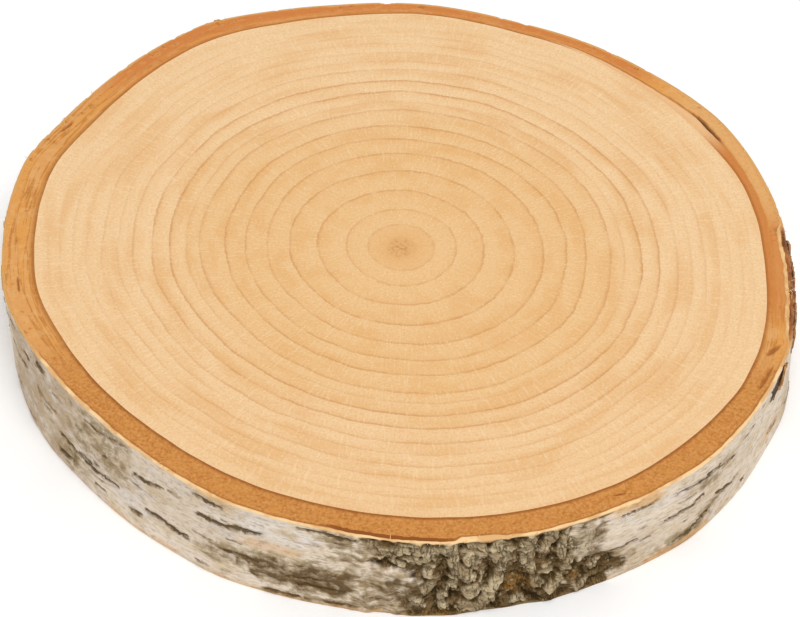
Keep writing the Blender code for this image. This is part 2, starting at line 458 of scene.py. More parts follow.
class WhiteBarkSettings(bpy.types.PropertyGroup):
    """Papery outer bark"""

    paper: colour_setting("Paper", "White birch paper", "#E9D9C6")
    cool: colour_setting("Cool paper", "Bluish white patches", "#E5DACE")
    beige: colour_setting("Beige paper", "Aged paper", "#D6C09E")
    dust: colour_setting("Dust", "Grey-brown dust on the paper", "#B59C7C")
    slot: colour_setting("Lenticel", "Dark cork in a lenticel", "#5B4529")
    grey: colour_setting("Weathered", "Grey weathered cork", "#9F8A68")
    plate: colour_setting("Bark plate", "Grey-tan plates of old bark", "#BFAA88")
    # pale crests of the plates, also used as painted highlight on their raised edges and level ridges
    pale_crest_and_highlight: colour_setting("Crest", "Pale worn crests of the plates", "#D6C4A0")
    shade: colour_setting("Plate shade", "Brown ground between the plates", "#735B3B")
    brown: colour_setting("Brown cork", "Damp brown cork", "#7A5E38")
    # dark furrow cork, also used as painted shade in the low ground and the cracks of the old bark
    fissure_cork_and_shade: colour_setting("Fissure", "Dark bottom of the furrows", "#35270F")
    olive: colour_setting("Olive plate", "Greenish dusting on some plates", "#8E8568")
    peach: colour_setting("Peach layer", "Fresh layer under the white one", "#DDAE76")
    ochre: colour_setting("Ochre", "Rusty spots in the furrows", "#B67F34")
    cream: colour_setting("Sawn edge", "Fresh cream edge of the sawn bark", "#F0CB96")
    tan: colour_setting("Browned edge", "Sawn edge where it has browned", "#D29A58")
    husk: colour_setting("Husk", "Dark rough bark on the right of the rim", "#70421F")
    ruddy: colour_setting("Ruddy husk", "Red-brown parts of that bark", "#A8683A")
    # painted shade: the dark colour put in the hollow where a chip broke out
    hollow: colour_setting("Hollow", "Dark hollow where a chip broke out", "#40250F")
    ridge: length_setting("Ridge", "How far a plate of old bark stands out", 0.9)
    wrinkle: length_setting("Wrinkle", "Height of the paper's level wrinkles", 0.25)


class BreakageSettings(bpy.types.PropertyGroup):
    """Lichen, flakes and splinters"""

    lichen: colour_setting("Lichen", "Grey-green crust on old bark", "#84755A")
    lichen_pale: colour_setting("Pale lichen", "Pale rim of the crust", "#9C8D70")
    lichen_dark: colour_setting("Dark lichen", "Damp middle of the crust", "#4F4630")
    fibre: colour_setting("Fibre", "Fresh torn fibre", "#F3CF9B")
    fibre_tan: colour_setting("Browned fibre", "Torn fibre that has browned", "#DDA565")
    flake_dark: colour_setting("Flake", "Dark underside of lifted bark", "#875330")
    flake_pale: colour_setting("Pale flake", "Tan face of lifted bark", "#C9975F")
    flake_streak: colour_setting("Flake streak", "Dark streaks on lifted bark", "#55301A")
    crust_size: length_setting("Crust size", "Width of a crumb of lichen", 0.9)
    fibre_length: length_setting("Fibre length", "Length of a torn fibre", 1.3)


class StageSettings(bpy.types.PropertyGroup):
    """Floor, light and camera"""

    floor: colour_setting("Floor", "Plain pale table", "#FAFAFA")
    elevation: bpy.props.FloatProperty(
        name="Elevation",
        description="Angle that the camera looks down at",
        default=math.radians(45),
        subtype="ANGLE",
    )
    distance: length_setting("Distance", "From the camera to what it looks at", 700)
    key: bpy.props.FloatProperty(
        name="Key light", description="Soft light from above", default=31.0, min=0, unit="POWER"
    )
    sky: bpy.props.FloatProperty(
        name="Surrounding light", description="Strength of the plain white world", default=0.62, min=0
    )


class SliceSettings(bpy.types.PropertyGroup):
    """All the slice's settings"""

    wood: bpy.props.PointerProperty(type=SawnWoodSettings)
    inner: bpy.props.PointerProperty(type=InnerBarkSettings)
    white: bpy.props.PointerProperty(type=WhiteBarkSettings)
    breakage: bpy.props.PointerProperty(type=BreakageSettings)
    stage: bpy.props.PointerProperty(type=StageSettings)


# Numbers round the trunk


def smooth(values):
    """A step from 0 to 1 with soft ends, for numbers or arrays."""
    values = np.clip(values, 0, 1)
    return values * values * (3 - 2 * values)


def turn_between(bearings, middle):
    """Degrees from the middle to each bearing, the short way round."""
    return (bearings - middle + 180) % 360 - 180


def noise_at(points, size, seed=0.0):
    """Smooth noise from about -1 to 1 at each point, with features of the size given."""
    shift = Vector((seed * 7.3, seed * 3.1, seed * 5.7))
    flat = points.reshape(-1, 3) / size
    values = [noise.noise(Vector(point) + shift) for point in flat.tolist()]
    return np.array(values).reshape(points.shape[:-1])


def averaged(values, reach):
    """Values round the trunk, each averaged with its neighbours out to the reach, in columns."""
    weights = np.hanning(2 * reach + 3)[1:-1]
    turned = (w * np.roll(values, shift, axis=0) for shift, w in enumerate(weights, -reach))
    return sum(turned) / weights.sum()


def on_trunk(radius, bearings, heights):
    """Points in mm at these radii, bearings and heights."""
    turns = np.radians(bearings)
    return np.stack(np.broadcast_arrays(radius * np.cos(turns), radius * np.sin(turns), heights), -1)


def cast_wall(columns, heights):
    """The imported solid's radius in mm, one row for each bearing and one column for each height."""
    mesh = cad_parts[NODE].data
    solid = BVHTree.FromPolygons(
        [vertex.co for vertex in mesh.vertices], [face.vertices for face in mesh.polygons]
    )
    radii = np.empty((columns, len(heights)))
    for column in range(columns):
        turn = math.tau * column / columns
        out = Vector((math.cos(turn), math.sin(turn), 0))
        for row, height in enumerate(heights):
            start = out * CAST_FROM + Vector((0, 0, height * MM))
            hit = solid.ray_cast(start, -out)[0]
            radii[column, row] = math.hypot(hit.x, hit.y) / MM
    return radii


class Trunk:
    """The slice's outline by bearing: the wall by height, and where wood and bark meet."""

    heights = np.linspace(1.5, 23.0, 15)

    def __init__(self):
        self.bearings = np.arange(BARK_COLUMNS) * 360 / BARK_COLUMNS
        self.wall = averaged(cast_wall(BARK_COLUMNS, self.heights), 3)
        stations, rims, barks = np.array(OUTLINE, float).T
        places = on_trunk(rims, stations, 0)[:, :2] + OUTLINE_SHIFT
        turns = np.degrees(np.arctan2(places[:, 1], places[:, 0]))
        self.rim = averaged(np.interp(self.bearings, turns, np.hypot(*places.T), period=360), 15)
        bark = averaged(np.interp(self.bearings, turns, barks, period=360), 20)
        around = on_trunk(NOMINAL_RADIUS, self.bearings, 0)
        bark += 0.15 * noise_at(around, 8.0, 3)
        self.lift = self.rim - averaged(self.wall[:, -1], 12)
        self.foot = averaged(self.wall[:, 0], 12)
        self.wood_top = averaged(self.rim, 20) - bark
        self.wood_foot = averaged(self.foot, 30) - bark
        worn = [self.window(middle, half + 5, 4) for middle, half, *_ in RUGGED]
        self.worn = np.max(worn, axis=0)
        self.husk = self.stretch("husk")
        self.front = self.stretch("front")
        edge = 0.85 + 0.3 * noise_at(around, 7.0, 8) + 0.2 * noise_at(around, 2.2, 9)
        for *place, gain in PAPER_SWELLS:
            edge += gain * self.window(*place)
        self.paper = np.clip(edge, 0.4, 1.7) + self.husk * (1.5 + 0.5 * noise_at(around, 3.0, 10))

    def window(self, middle, half, soft):
        """1 at bearings within half of the middle, falling to 0 over the soft degrees inside it."""
        return smooth((half - np.abs(turn_between(self.bearings, middle))) / soft)

    def stretch(self, name):
        """1 on the named stretch and 0 off it."""
        return self.window(*STRETCHES[name])

    def around(self, values, bearings):
        """Values by the trunk's own bearings, read at others."""
        return np.interp(bearings, self.bearings, values, period=360)

    def wall_at(self, height):
        """The wall's radius at this height, all the way round."""
        step = (self.heights[-1] - self.heights[0]) / (len(self.heights) - 1)
        place = np.clip((height - self.heights[0]) / step, 0, len(self.heights) - 1.001)
        low = int(place)
        share = place - low
        wall = self.wall[:, low] * (1 - share) + self.wall[:, low + 1] * share
        return wall + self.lift * smooth((height - 13) / 10)


# Meshes and node trees


def turned_mesh(name, rings, poles=None, attributes=None):
    """A closed mesh of rings of points in mm. Without poles the last ring joins the first."""
    rows, columns = rings.shape[:2]
    index = np.arange(rows * columns).reshape(rows, columns)
    after = np.roll(index, -1, axis=1)
    starts = range(rows) if poles is None else range(rows - 1)
    faces = []
    for row in starts:
        below = (row + 1) % rows
        quads = np.stack([index[row], index[below], after[below], after[row]], -1)
        faces += quads.tolist()
    points = rings.reshape(-1, 3)
    if poles is not None:
        points = np.concatenate([points, poles])
        first, last = rows * columns, rows * columns + 1
        faces += [[first, a, b] for a, b in zip(index[0].tolist(), after[0].tolist())]
        faces += [[last, b, a] for a, b in zip(index[-1].tolist(), after[-1].tolist())]
    mesh = bpy.data.meshes.new(name)
    mesh.from_pydata((points * MM).tolist(), [], faces)
    for label, values in (attributes or {}).items():
        kind, slot = ("FLOAT_VECTOR", "vector") if values.shape[-1:] == (3,) else ("FLOAT", "value")
        made = mesh.attributes.new(label, kind, "POINT")
        made.data.foreach_set(slot, values.astype(np.float32).ravel())
    mesh.shade_smooth()
    piece = bpy.data.objects.new(name, mesh)
    bpy.context.scene.collection.objects.link(piece)
    return piece


# The trees' commonest nodes: the kind, its settings, and the inputs that its values go to in turn
NODES = {
    "*": ("ShaderNodeMath", {"operation": "MULTIPLY"}, (0, 1)),
    "+": ("ShaderNodeMath", {"operation": "ADD"}, (0, 1)),
    "-": ("ShaderNodeMath", {"operation": "SUBTRACT"}, (0, 1)),
    "*+": ("ShaderNodeMath", {"operation": "MULTIPLY_ADD"}, (0, 1, 2)),
    "<": ("ShaderNodeMath", {"operation": "LESS_THAN"}, (0, 1)),
    "max": ("ShaderNodeMath", {"operation": "MAXIMUM"}, (0, 1)),
    "abs": ("ShaderNodeMath", {"operation": "ABSOLUTE"}, (0,)),
    "fract": ("ShaderNodeMath", {"operation": "FRACT"}, (0,)),
    "move": ("ShaderNodeVectorMath", {"operation": "ADD"}, (0, 1)),
    "scale": ("ShaderNodeVectorMath", {"operation": "MULTIPLY"}, (0, 1)),
    "sized": ("ShaderNodeVectorMath", {"operation": "SCALE"}, (0, "Scale")),
    "unit": ("ShaderNodeVectorMath", {"operation": "NORMALIZE"}, (0,)),
    "up": ("ShaderNodeCombineXYZ", {}, ("Z",)),
    "noise": ("ShaderNodeTexNoise", {}, ("Vector", "Scale", "Detail", "Roughness")),
    "ramp": (
        "ShaderNodeMapRange",
        {"interpolation_type": "SMOOTHSTEP"},
        ("Value", "From Min", "From Max"),
    ),
    "drawn": ("FunctionNodeRandomValue", {"data_type": "FLOAT"}, (2, 3, "Seed")),
    "drawn each way": ("FunctionNodeRandomValue", {"data_type": "FLOAT_VECTOR"}, (0, 1, "Seed")),
    "mix": ("ShaderNodeMix", {"data_type": "RGBA"}, ("Factor", "A", "B")),
    "tint": ("ShaderNodeMix", {"data_type": "RGBA"}, ("A", "B", "Factor")),
}


def add(tree, kind, *values):
    """Adds a node; an input takes a value, a socket or a node's first output.

    A kind from the table is followed by the values of its inputs. Any other is followed by a
    dictionary of its settings and one of its inputs.
    """
    if kind in NODES:
        kind, settings, places = NODES[kind]
        inputs = dict(zip(places, values))
    else:
        settings, inputs = (*values, None, None)[:2]
    node = tree.nodes.new(kind)
    for name, value in (settings or {}).items():
        setattr(node, name, value)
    for key, value in (inputs or {}).items():
        if isinstance(key, int):
            socket = node.inputs[key]
        else:
            socket = next(s for s in node.inputs if s.name == key and s.enabled)
        if isinstance(value, bpy.types.Node):
            value = next(s for s in value.outputs if s.enabled)
        if isinstance(value, bpy.types.NodeSocket):
            tree.links.new(value, socket)
        elif socket.type == "RGBA":
            socket.default_value = (*value, 1.0)
        else:
            socket.default_value = value
    return node


def geometry_tree(name, inputs):
    """A Geometry Nodes tree with a geometry socket each way and these named inputs."""
    tree = bpy.data.node_groups.new(name, "GeometryNodeTree")
    tree.interface.new_socket("Geometry", in_out="INPUT", socket_type="NodeSocketGeometry")
    for label, kind in inputs.items():
        tree.interface.new_socket(label, in_out="INPUT", socket_type=kind)
    tree.interface.new_socket("Geometry", in_out="OUTPUT", socket_type="NodeSocketGeometry")
    return tree, tree.nodes.new("NodeGroupInput").outputs


def end_tree(tree, geometry, finish):
    """Ends a tree with its instances made real and its material set."""
    real = add(tree, "GeometryNodeRealizeInstances", None, {"Geometry": geometry})
    set_finish = add(tree, "GeometryNodeSetMaterial", None, {"Geometry": real, "Material": finish})
    add(tree, "NodeGroupOutput", None, {"Geometry": set_finish})


def run_tree(piece, tree, values):
    """Runs a tree on the piece with these inputs, and keeps the result as its plain mesh."""
    modifier = piece.modifiers.new(tree.name, "NODES")
    modifier.node_group = tree
    for item in tree.interface.items_tree:
        if item.in_out == "INPUT" and item.name in values:
            modifier[item.identifier] = values[item.name]
    graph = bpy.context.evaluated_depsgraph_get()
    made = bpy.data.meshes.new_from_object(
        piece.evaluated_get(graph), preserve_all_data_layers=True, depsgraph=graph
    )
    piece.modifiers.clear()
    piece.data = made
    made.name = piece.name
    made.shade_smooth()


def new_material(name):
    """A material with one Principled shader, and its tree."""
    finish = bpy.data.materials.new(name)
    finish.use_nodes = True
    return finish, finish.node_tree


def end_material(tree, tone, surface, height=None, millimetres=0.0, strength=1.0):
    """Gives the tree's shader its tone, its surface values and, where there is one, its relief."""
    shader = tree.nodes["Principled BSDF"]
    tree.links.new(tone.outputs[2], shader.inputs["Base Color"])
    for label, value in surface.items():
        shader.inputs[label].default_value = value
    if height:
        relief = {"Height": height, "Distance": millimetres * MM, "Strength": strength}
        bump = add(tree, "ShaderNodeBump", None, relief)
        tree.links.new(bump.outputs["Normal"], shader.inputs["Normal"])


def read_marks(tree, *labels):
    """What a mesh holds at each point under these labels, for its material or a geometry tree."""
    found = []
    for label in labels:
        kind = "FLOAT_VECTOR" if label == "trunk" else "FLOAT"
        if tree.bl_idname == "GeometryNodeTree":
            mark = add(tree, "GeometryNodeInputNamedAttribute", {"data_type": kind}, {"Name": label})
            found.append(next(s for s in mark.outputs if s.enabled))
        else:
            mark = add(tree, "ShaderNodeAttribute", {"attribute_name": label})
            found.append(mark.outputs["Vector" if kind == "FLOAT_VECTOR" else "Fac"])
    return found


def millimetre_space(tree, centre=(0.0, 0.0)):
    """Object coordinates in millimetres from a centre."""
    place = add(tree, "ShaderNodeTexCoord").outputs["Object"]
    mapping = {"Vector": place, "Location": (-centre[0], -centre[1], 0), "Scale": (1 / MM,) * 3}
    return add(tree, "ShaderNodeMapping", None, mapping)


def grain(tree, place, scales, *detail):
    """Noise from 0 to 1 with this many features a millimetre each way."""
    return add(tree, "noise", add(tree, "scale", place, scales), 1.0, *detail)


def stacked(tree, place, scale, value):
    """A place scaled level with a value as its height, for noise that lies in layers."""
    return add(tree, "move", add(tree, "scale", place, (scale, scale, 0)), add(tree, "up", value))


def layered(tree, tone, *layers):
    """The tone with each layer's colour laid over it, by its share and its strength."""
    for colour, share, strength in layers:
        tone = add(tree, "tint", tone, colour, add(tree, "*", share, strength))
    return tone


def near_half(tree, value, core, reach):
    """1 where noise is within the core of its middle value, 0 beyond the reach: a winding line."""
    away = add(tree, "abs", add(tree, "-", value, 0.5))
    return add(tree, "ramp", away, reach, core)


def dress(piece):
    """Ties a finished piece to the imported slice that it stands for."""
    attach(piece, BODY)
    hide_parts(NODE)


# Sawn wood


def year_rows():
    """For each row of the sawn face: its share of the radius, year, ring spacing and darkness."""
    shares = np.array([share for share, _ in YEARS])
    gaps = np.diff(shares, prepend=0.0)
    spacing = gaps * WOOD_RADIUS
    soft_spacing = (spacing + np.append(spacing[1:], spacing[-1])) / 2
    rows = [(gaps[0] * step, step, soft_spacing[0], YEARS[0][1]) for step in YEAR_STEPS]
    for index in range(1, len(YEARS)):
        for step in YEAR_STEPS:
            mix = soft_spacing[index - 1] * (1 - step) + soft_spacing[index] * step
            dark = YEARS[index][1] if step > 0.5 else (YEARS[index - 1][1] + YEARS[index][1]) / 2
            rows.append((shares[index - 1] + gaps[index] * step, index + step, mix, dark))
    return np.array(rows)


def sawn_wood_rings(trunk, wander):
    """The sawn wood's rings of points: out over the top, down the side and back in underneath."""
    step = BARK_COLUMNS // WOOD_COLUMNS
    rows = year_rows()
    bearings = trunk.bearings[::step]
    shares = rows[:, 0][:, None, None]
    # round the middle years the rings lie a little to the right of the outline's own shape
    drift = RING_DRIFT * smooth((shares - 0.26) / 0.15) * smooth((1 - shares) * 4)
    faces = []
    for height, radius in ((TOP, trunk.wood_top), (0.0, trunk.wood_foot)):
        edge = on_trunk(radius[::step], bearings, height)
        even = on_trunk(averaged(radius, 130)[::step], bearings, height)
        middle = np.array([*PITH, height])
        own = smooth((shares - 0.55) / 0.45)
        grid = middle + shares * (own * edge + (1 - own) * even - middle)
        stray = noise_at(grid * (1, 1, 0), 17.0, 5) + 0.3 * noise_at(grid * (1, 1, 0), 5.0, 6)
        calm = smooth(shares[..., 0] * 6) * smooth((1 - shares[..., 0]) * 12)
        out = (grid - middle) / np.linalg.norm(grid - middle, axis=-1, keepdims=True)
        grid = grid + out * (stray * calm * wander)[..., None] + drift * (1, 0, 0)
        # early wood is softer and sands a little hollow
        season = rows[:, 1] % 1
        hollow = 0.05 * np.sin(math.pi * season) * smooth((1 - rows[:, 0]) * 30)
        grid[..., 2] -= (hollow if height > 0 else -hollow)[:, None]
        faces.append(grid)
    rings = np.concatenate([faces[0], faces[1][::-1]])
    values = np.concatenate([rows, rows[::-1]])
    spread = {
        label: np.repeat(values[:, column], WOOD_COLUMNS)
        for column, label in enumerate(("share", "year", "spacing", "darkness"))
    }
    # away from the front the outer years are sanded faint
    faint = 0.35 * smooth((spread["share"] - 0.68) / 0.1) * (
        1 - np.tile(trunk.front[::step], len(values))
    )
    spread["darkness"] = spread["darkness"] * (1 - faint)
    first = {"share": 0.0, "year": 0.0, "spacing": rows[0, 2], "darkness": rows[0, 3]}
    attributes = {label: np.append(v, [first[label]] * 2) for label, v in spread.items()}
    poles = np.array([[*PITH, TOP], [*PITH, 0.0]])
    return rings, poles, attributes


def sawn_birch(settings):
    """Sanded birch end grain: pale, matt and dry, with fine pores and a thin dark line a year."""
    finish, tree = new_material("sanded birch end grain")
    year, share, spacing, darkness = read_marks(tree, "year", "share", "spacing", "darkness")
    place = millimetre_space(tree, PITH)
    level = add(tree, "scale", place, (1, 1, 0))
    outward = add(tree, "unit", level)
    jitter = add(tree, "*+", add(tree, "noise", level, 0.5, 3, 0.6), 0.16, -0.08)
    season = add(tree, "fract", add(tree, "+", year, jitter))
    before = add(tree, "*", add(tree, "-", 1.0, season), spacing)
    after = add(tree, "*", season, spacing)
    width = settings.line_width / MM
    inner = add(tree, "ramp", before, width * 1.4, 0.0)
    outer = add(tree, "ramp", after, width * 0.4, 0.0)
    line = add(tree, "max", inner, outer)
    # a line is darker on some stretches than on others
    stretches = add(tree, "noise", stacked(tree, outward, 3.2, year), 1.7, 3)
    uneven = add(tree, "*+", add(tree, "ramp", stretches, 0.3, 0.62), 0.65, 0.35)
    depth = add(tree, "*", darkness, uneven)
    # the heart is warmer, out to a wandering border that lies further out at the front
    aside = add(tree, "ShaderNodeSeparateXYZ", None, {"Vector": outward}).outputs["Y"]
    drift = grain(tree, outward, (1.1, 1.1, 0), 2)
    edge = add(tree, "*+", drift, 0.3, add(tree, "*+", aside, -0.06, -0.12))
    border = add(tree, "-", share, edge)
    tone = add(tree, "mix", add(tree, "ramp", border, 0.69, 0.45), settings.outer, settings.middle)
    late = add(tree, "*", add(tree, "ramp", season, 0.25, 1.05), depth)
    tone = layered(tree, tone, (settings.late, late, 0.46))
    # broad blotches that follow the rings
    ring_space = stacked(tree, outward, 2.2, add(tree, "*", share, 13.0))
    blotch = add(tree, "ramp", add(tree, "noise", ring_space, 1.4, 4), 0.44, 0.66)
    blotch = add(tree, "*", blotch, add(tree, "ramp", share, 0.08, 0.3))
    tone = layered(
        tree,
        tone,
        (settings.late, blotch, 0.42),
        (settings.line, line, add(tree, "*", depth, 0.54)),
    )
    # the outer wood at the front is a little browner
    near = add(tree, "*", add(tree, "ramp", aside, 0.2, -0.9), add(tree, "ramp", share, 0.55, 0.9))
    tone = layered(tree, tone, (settings.late, near, 0.14))
    # pores are about 0.1 mm in birch; drawn at 0.5 mm so that they show
    pores = add(tree, "noise", level, 1.6, 3, 0.7)
    tone = layered(
        tree,
        tone,
        (settings.late, add(tree, "ramp", pores, 0.47, 0.68), 0.52),
        (settings.pale, add(tree, "ramp", pores, 0.46, 0.28), 0.42),
    )
    # rays: short pale ticks that point at the pith
    ray_space = add(
        tree, "move", add(tree, "scale", outward, (80, 80, 0)), add(tree, "scale", level, (0.2, 0.2, 0))
    )
    rays = add(tree, "ramp", add(tree, "noise", ray_space, 1.0, 1), 0.52, 0.75)
    tone = layered(tree, tone, (settings.pale, rays, 0.22))
    # the pith and the warm stain round it
    away = add(tree, "ShaderNodeVectorMath", {"operation": "LENGTH"}, {0: level}).outputs["Value"]
    cloud = add(tree, "noise", level, 0.55, 4, 0.7)
    ragged = add(tree, "*+", cloud, 8.0, add(tree, "-", away, 4.0))
    tone = layered(tree, tone, (settings.late, add(tree, "ramp", ragged, 11.0, 1.0), 0.7))
    specks = add(tree, "ramp", add(tree, "noise", level, 1.1, 3, 0.7), 0.44, 0.58)
    core = add(tree, "*", add(tree, "ramp", ragged, 5.2, 1.2), specks)
    tone = layered(tree, tone, (settings.pith, core, 0.5))
    surface = {"Roughness": 0.62, "IOR": 1.45, "Specular IOR Level": 0.25}
    end_material(tree, tone, surface, add(tree, "*+", line, 0.5, pores), 0.06, 0.7)
    return finish


class BIRCH_OT_sawn_wood(bpy.types.Operator):
    """Makes the sanded wood with its growth rings, inside the bark"""

    bl_idname = "birch.sawn_wood"
    bl_label = "Sawn wood"

    def execute(self, context):
        settings = context.scene.birch_slice.wood
        rings, poles, attributes = sawn_wood_rings(Trunk(), settings.wander / MM)
        piece = turned_mesh("sawn_wood", rings, poles, attributes)
        piece.data.materials.append(sawn_birch(settings))
        piece.data.set_sharp_from_angle(angle=math.radians(40))
        dress(piece)
        return {"FINISHED"}


# Inner bark


def scar_cover(bearings, share, width):
    """How strongly a short scar marks each point of the sawn inner bark."""
    cover = np.zeros(bearings.shape)
    for middle, across, half, thick, slant in SCARS:
        along = np.radians(turn_between(bearings, middle)) * NOMINAL_RADIUS
        away = (share - across) * width - slant * along
        cover = np.maximum(cover, smooth(1.4 - (along / half) ** 2 - (away / thick) ** 2))
    return cover


def inner_bark_rings(trunk, split_depth):
    """The inner bark's loop of rings, with what its shader needs to know at each point."""
    bearings = trunk.bearings
    opened = trunk.stretch("opened")
    gaping = trunk.stretch("gaping")
    around = on_trunk(NOMINAL_RADIUS, bearings, 0)
    wave = 0.03 * noise_at(around, 6.0, 41)
    split = np.interp(bearings, *np.array(SPLIT, float).T)
    recess = BARK_RECESS * trunk.worn
    outer_top, outer_foot = trunk.rim - trunk.paper, trunk.foot - trunk.paper
    fixed = {
        "front": trunk.front,
        "deep": trunk.stretch("deep"),
        "ruddy": np.maximum(trunk.stretch("ruddy"), trunk.stretch("ruddy by the split")),
        "seam": 0.35 + 0.65 * trunk.stretch("seam"),
    }
    rows = []
    labels = ("across", "wide", "strip", "crevice_shade", "tan", "scar")
    spread = {label: [] for label in (*labels, *fixed)}

    def add_row(point, *values):
        rows.append(point)
        for value, column in zip((*values, *fixed.values()), spread.values()):
            column.append(value + 0 * bearings)

    shares = np.linspace(0, 1, 21)
    pale_side = trunk.stretch("pale")
    for side, height, inner, outer in (
        (1, TOP, trunk.wood_top, outer_top),
        (-1, 0.0, trunk.wood_foot, outer_foot),
    ):
        upper = side > 0
        for share in shares[::side]:
            point = on_trunk(inner + (outer - inner) * share, bearings, height)
            edge = smooth(share * 6) * smooth((1 - share) * 6 + 0.3)
            rough = (0.12 + 0.16 * pale_side * (share > 0.6)) * (noise_at(point, 1.1, 42) + 1) * edge
            groove = 0.12 * smooth(1 - abs(share - 0.04) / 0.06)
            past = share - split - wave
            gap = smooth(1.2 - np.abs(past) / (0.05 + 0.03 * gaping)) * upper * opened
            scar = scar_cover(bearings, share + 0 * bearings, outer - inner) * upper
            depth = np.maximum(gap * (0.08 + 0.92 * gaping) * split_depth, 0.5 * scar)
            point[..., 2] = height - side * (rough + groove + depth)
            strip = smooth(-past * 9) * opened * upper
            tan = smooth(past * 9) * pale_side * upper
            # painted shade for the bottom of the split where it gapes
            crevice_shade = gap * gaping
            # the split's walls join the scars' mark, so that they are darkened with them as painted
            # shade
            scar = np.maximum(scar, gap)
            add_row(point, share, outer - inner, strip, crevice_shade, tan, scar)
        # under the rugged patches the outer side steps back, so that no furrow reaches it
        if upper:
            for radius, low in ((outer_top - recess, TOP - 1.2), (outer_foot - recess, 0.8)):
                add_row(on_trunk(radius, bearings, low), 1.0, outer - inner, 0.0, 0.0, 0.0, 0.0)
    rings = np.stack(rows)
    attributes = {label: np.stack(values).ravel() for label, values in spread.items()}
    attributes["trunk"] = rings.copy()
    return rings, attributes


def sawn_inner_bark(settings):
    """Sawn inner bark: granular cork cells in orange-brown at the front, clean-cut bast behind."""
    finish, tree = new_material("sawn inner bark of birch")
    deep, ruddy, tan, seam, scar, crevice_shade = read_marks(
        tree, "deep", "ruddy", "tan", "seam", "scar", "crevice_shade"
    )
    trunk, across, wide, front, strip = read_marks(tree, "trunk", "across", "wide", "front", "strip")
    place = millimetre_space(tree)
    fine = add(tree, "noise", place, 1.3, 3, 0.7)
    coarse = add(tree, "noise", place, 0.25, 3)
    tone = add(tree, "mix", add(tree, "ramp", fine, 0.38, 0.7), settings.body, settings.pale)
    tone = layered(
        tree,
        tone,
        (settings.dark, add(tree, "ramp", fine, 0.46, 0.3), 0.5),
        (settings.layer, add(tree, "ramp", coarse, 0.48, 0.66), 0.3),
    )
    tone = add(tree, "tint", tone, settings.body, 0.3)
    # layers of bast that show where the saw cut cleanly, darkest beside the wood
    stack = stacked(tree, trunk, 0.022, add(tree, "*", across, 3.2))
    bands = add(tree, "noise", stack, 1.0, 4, 0.6)
    spots = grain(tree, trunk, (0.3, 0.3, 0.3), 4, 0.65)
    light = add(tree, "mix", add(tree, "ramp", bands, 0.44, 0.56), settings.layer, settings.pale)
    light = layered(
        tree,
        light,
        (settings.body, near_half(tree, bands, 0.008, 0.045), 0.85),
        (settings.tan, add(tree, "ramp", spots, 0.5, 0.62), 0.5),
        (settings.body, add(tree, "ramp", across, 0.24, 0.1), 0.6),
    )
    inner_half = add(tree, "*", deep, add(tree, "ramp", across, 0.62, 0.4))
    light = layered(
        tree,
        light,
        (settings.body, inner_half, 0.55),
        (settings.body, deep, 0.35),
        (settings.red, deep, 0.5),
        (settings.red, ruddy, 0.4),
    )
    outer_half = add(tree, "*", ruddy, add(tree, "ramp", across, 0.3, 0.6))
    blush = add(tree, "*", add(tree, "ramp", spots, 0.38, 0.54), outer_half)
    light = layered(tree, light, (settings.red, blush, 0.9))
    blots = add(tree, "*", add(tree, "ramp", spots, 0.42, 0.34), add(tree, "ramp", across, 0.3, 0.8))
    light = layered(
        tree,
        light,
        (settings.dark, blots, 0.45),
        (settings.dark, add(tree, "ramp", fine, 0.44, 0.3), 0.22),
    )
    tone = add(tree, "mix", front, light, tone)
    # outside the split the bark is paler
    tone = layered(
        tree,
        tone,
        (settings.tan, tan, add(tree, "+", fine, 0.3)),
        (settings.strip, strip, add(tree, "*+", fine, 0.5, 0.6)),
    )
    line = settings.edge_line / MM
    wobble = add(tree, "*+", add(tree, "noise", place, 0.6, 3, 0.6), 0.8, -0.4)
    from_wood = add(tree, "*+", across, wide, wobble)
    from_paper = add(tree, "*+", add(tree, "-", 1.0, across), wide, wobble)
    beside = add(tree, "ramp", from_wood, line * 1.9, line * 0.3)
    inside = add(tree, "*", beside, add(tree, "-", 1.0, strip))
    reach = add(tree, "*+", seam, line * 1.6, line * 0.3)
    outside = add(tree, "*", add(tree, "<", from_paper, reach), add(tree, "*", front, seam))
    strength = add(tree, "*+", front, 0.3, 0.42)
    tone = layered(
        tree,
        tone,
        (settings.dark, inside, strength),
        (settings.dark, outside, 0.95),
        # the scars' own dark colour, which along the split is painted shade
        (settings.dark, scar, 0.65),
        # painted shade at the bottom of the split
        (settings.crevice_shade, crevice_shade, 0.9),
    )
    surface = {"Roughness": 0.8, "IOR": 1.45, "Specular IOR Level": 0.2}
    end_material(tree, tone, surface, fine, 0.2, 0.6)
    return finish


class BIRCH_OT_inner_bark(bpy.types.Operator):
    """Makes the sawn inner bark between the wood and the white bark"""

    bl_idname = "birch.inner_bark"
    bl_label = "Inner bark"

    def execute(self, context):
        settings = context.scene.birch_slice.inner
        rings, attributes = inner_bark_rings(Trunk(), settings.split_depth / MM)
        piece = turned_mesh("inner_bark", rings, None, attributes)
        piece.data.materials.append(sawn_inner_bark(settings))
        piece.data.set_sharp_from_angle(angle=math.radians(50))
        dress(piece)
        return {"FINISHED"}


# White bark


def patches(table, bearings, heights, points, seed, softness=1.0):
    """How strongly a patch of the table covers each point, with wandering borders."""
    ragged_turn = 2.5 * noise_at(points, 6.0, seed) + 1.3 * noise_at(points, 2.0, seed + 1)
    ragged_up = 1.6 * noise_at(points, 5.0, seed + 2) + 0.5 * noise_at(points, 1.6, seed + 3)
    cover = np.zeros(bearings.shape)
    for middle, half, low, high, strength in table:
        away = np.abs(turn_between(bearings, middle)) + ragged_turn
        side = smooth((half - away) / (2.0 * softness) + 0.5)
        upright = smooth((heights - low + ragged_up) / (1.8 * softness) + 0.5)
        upright = upright * smooth((high - heights + ragged_up) / (1.8 * softness) + 0.5)
        cover = np.maximum(cover, strength * side * upright)
    return cover


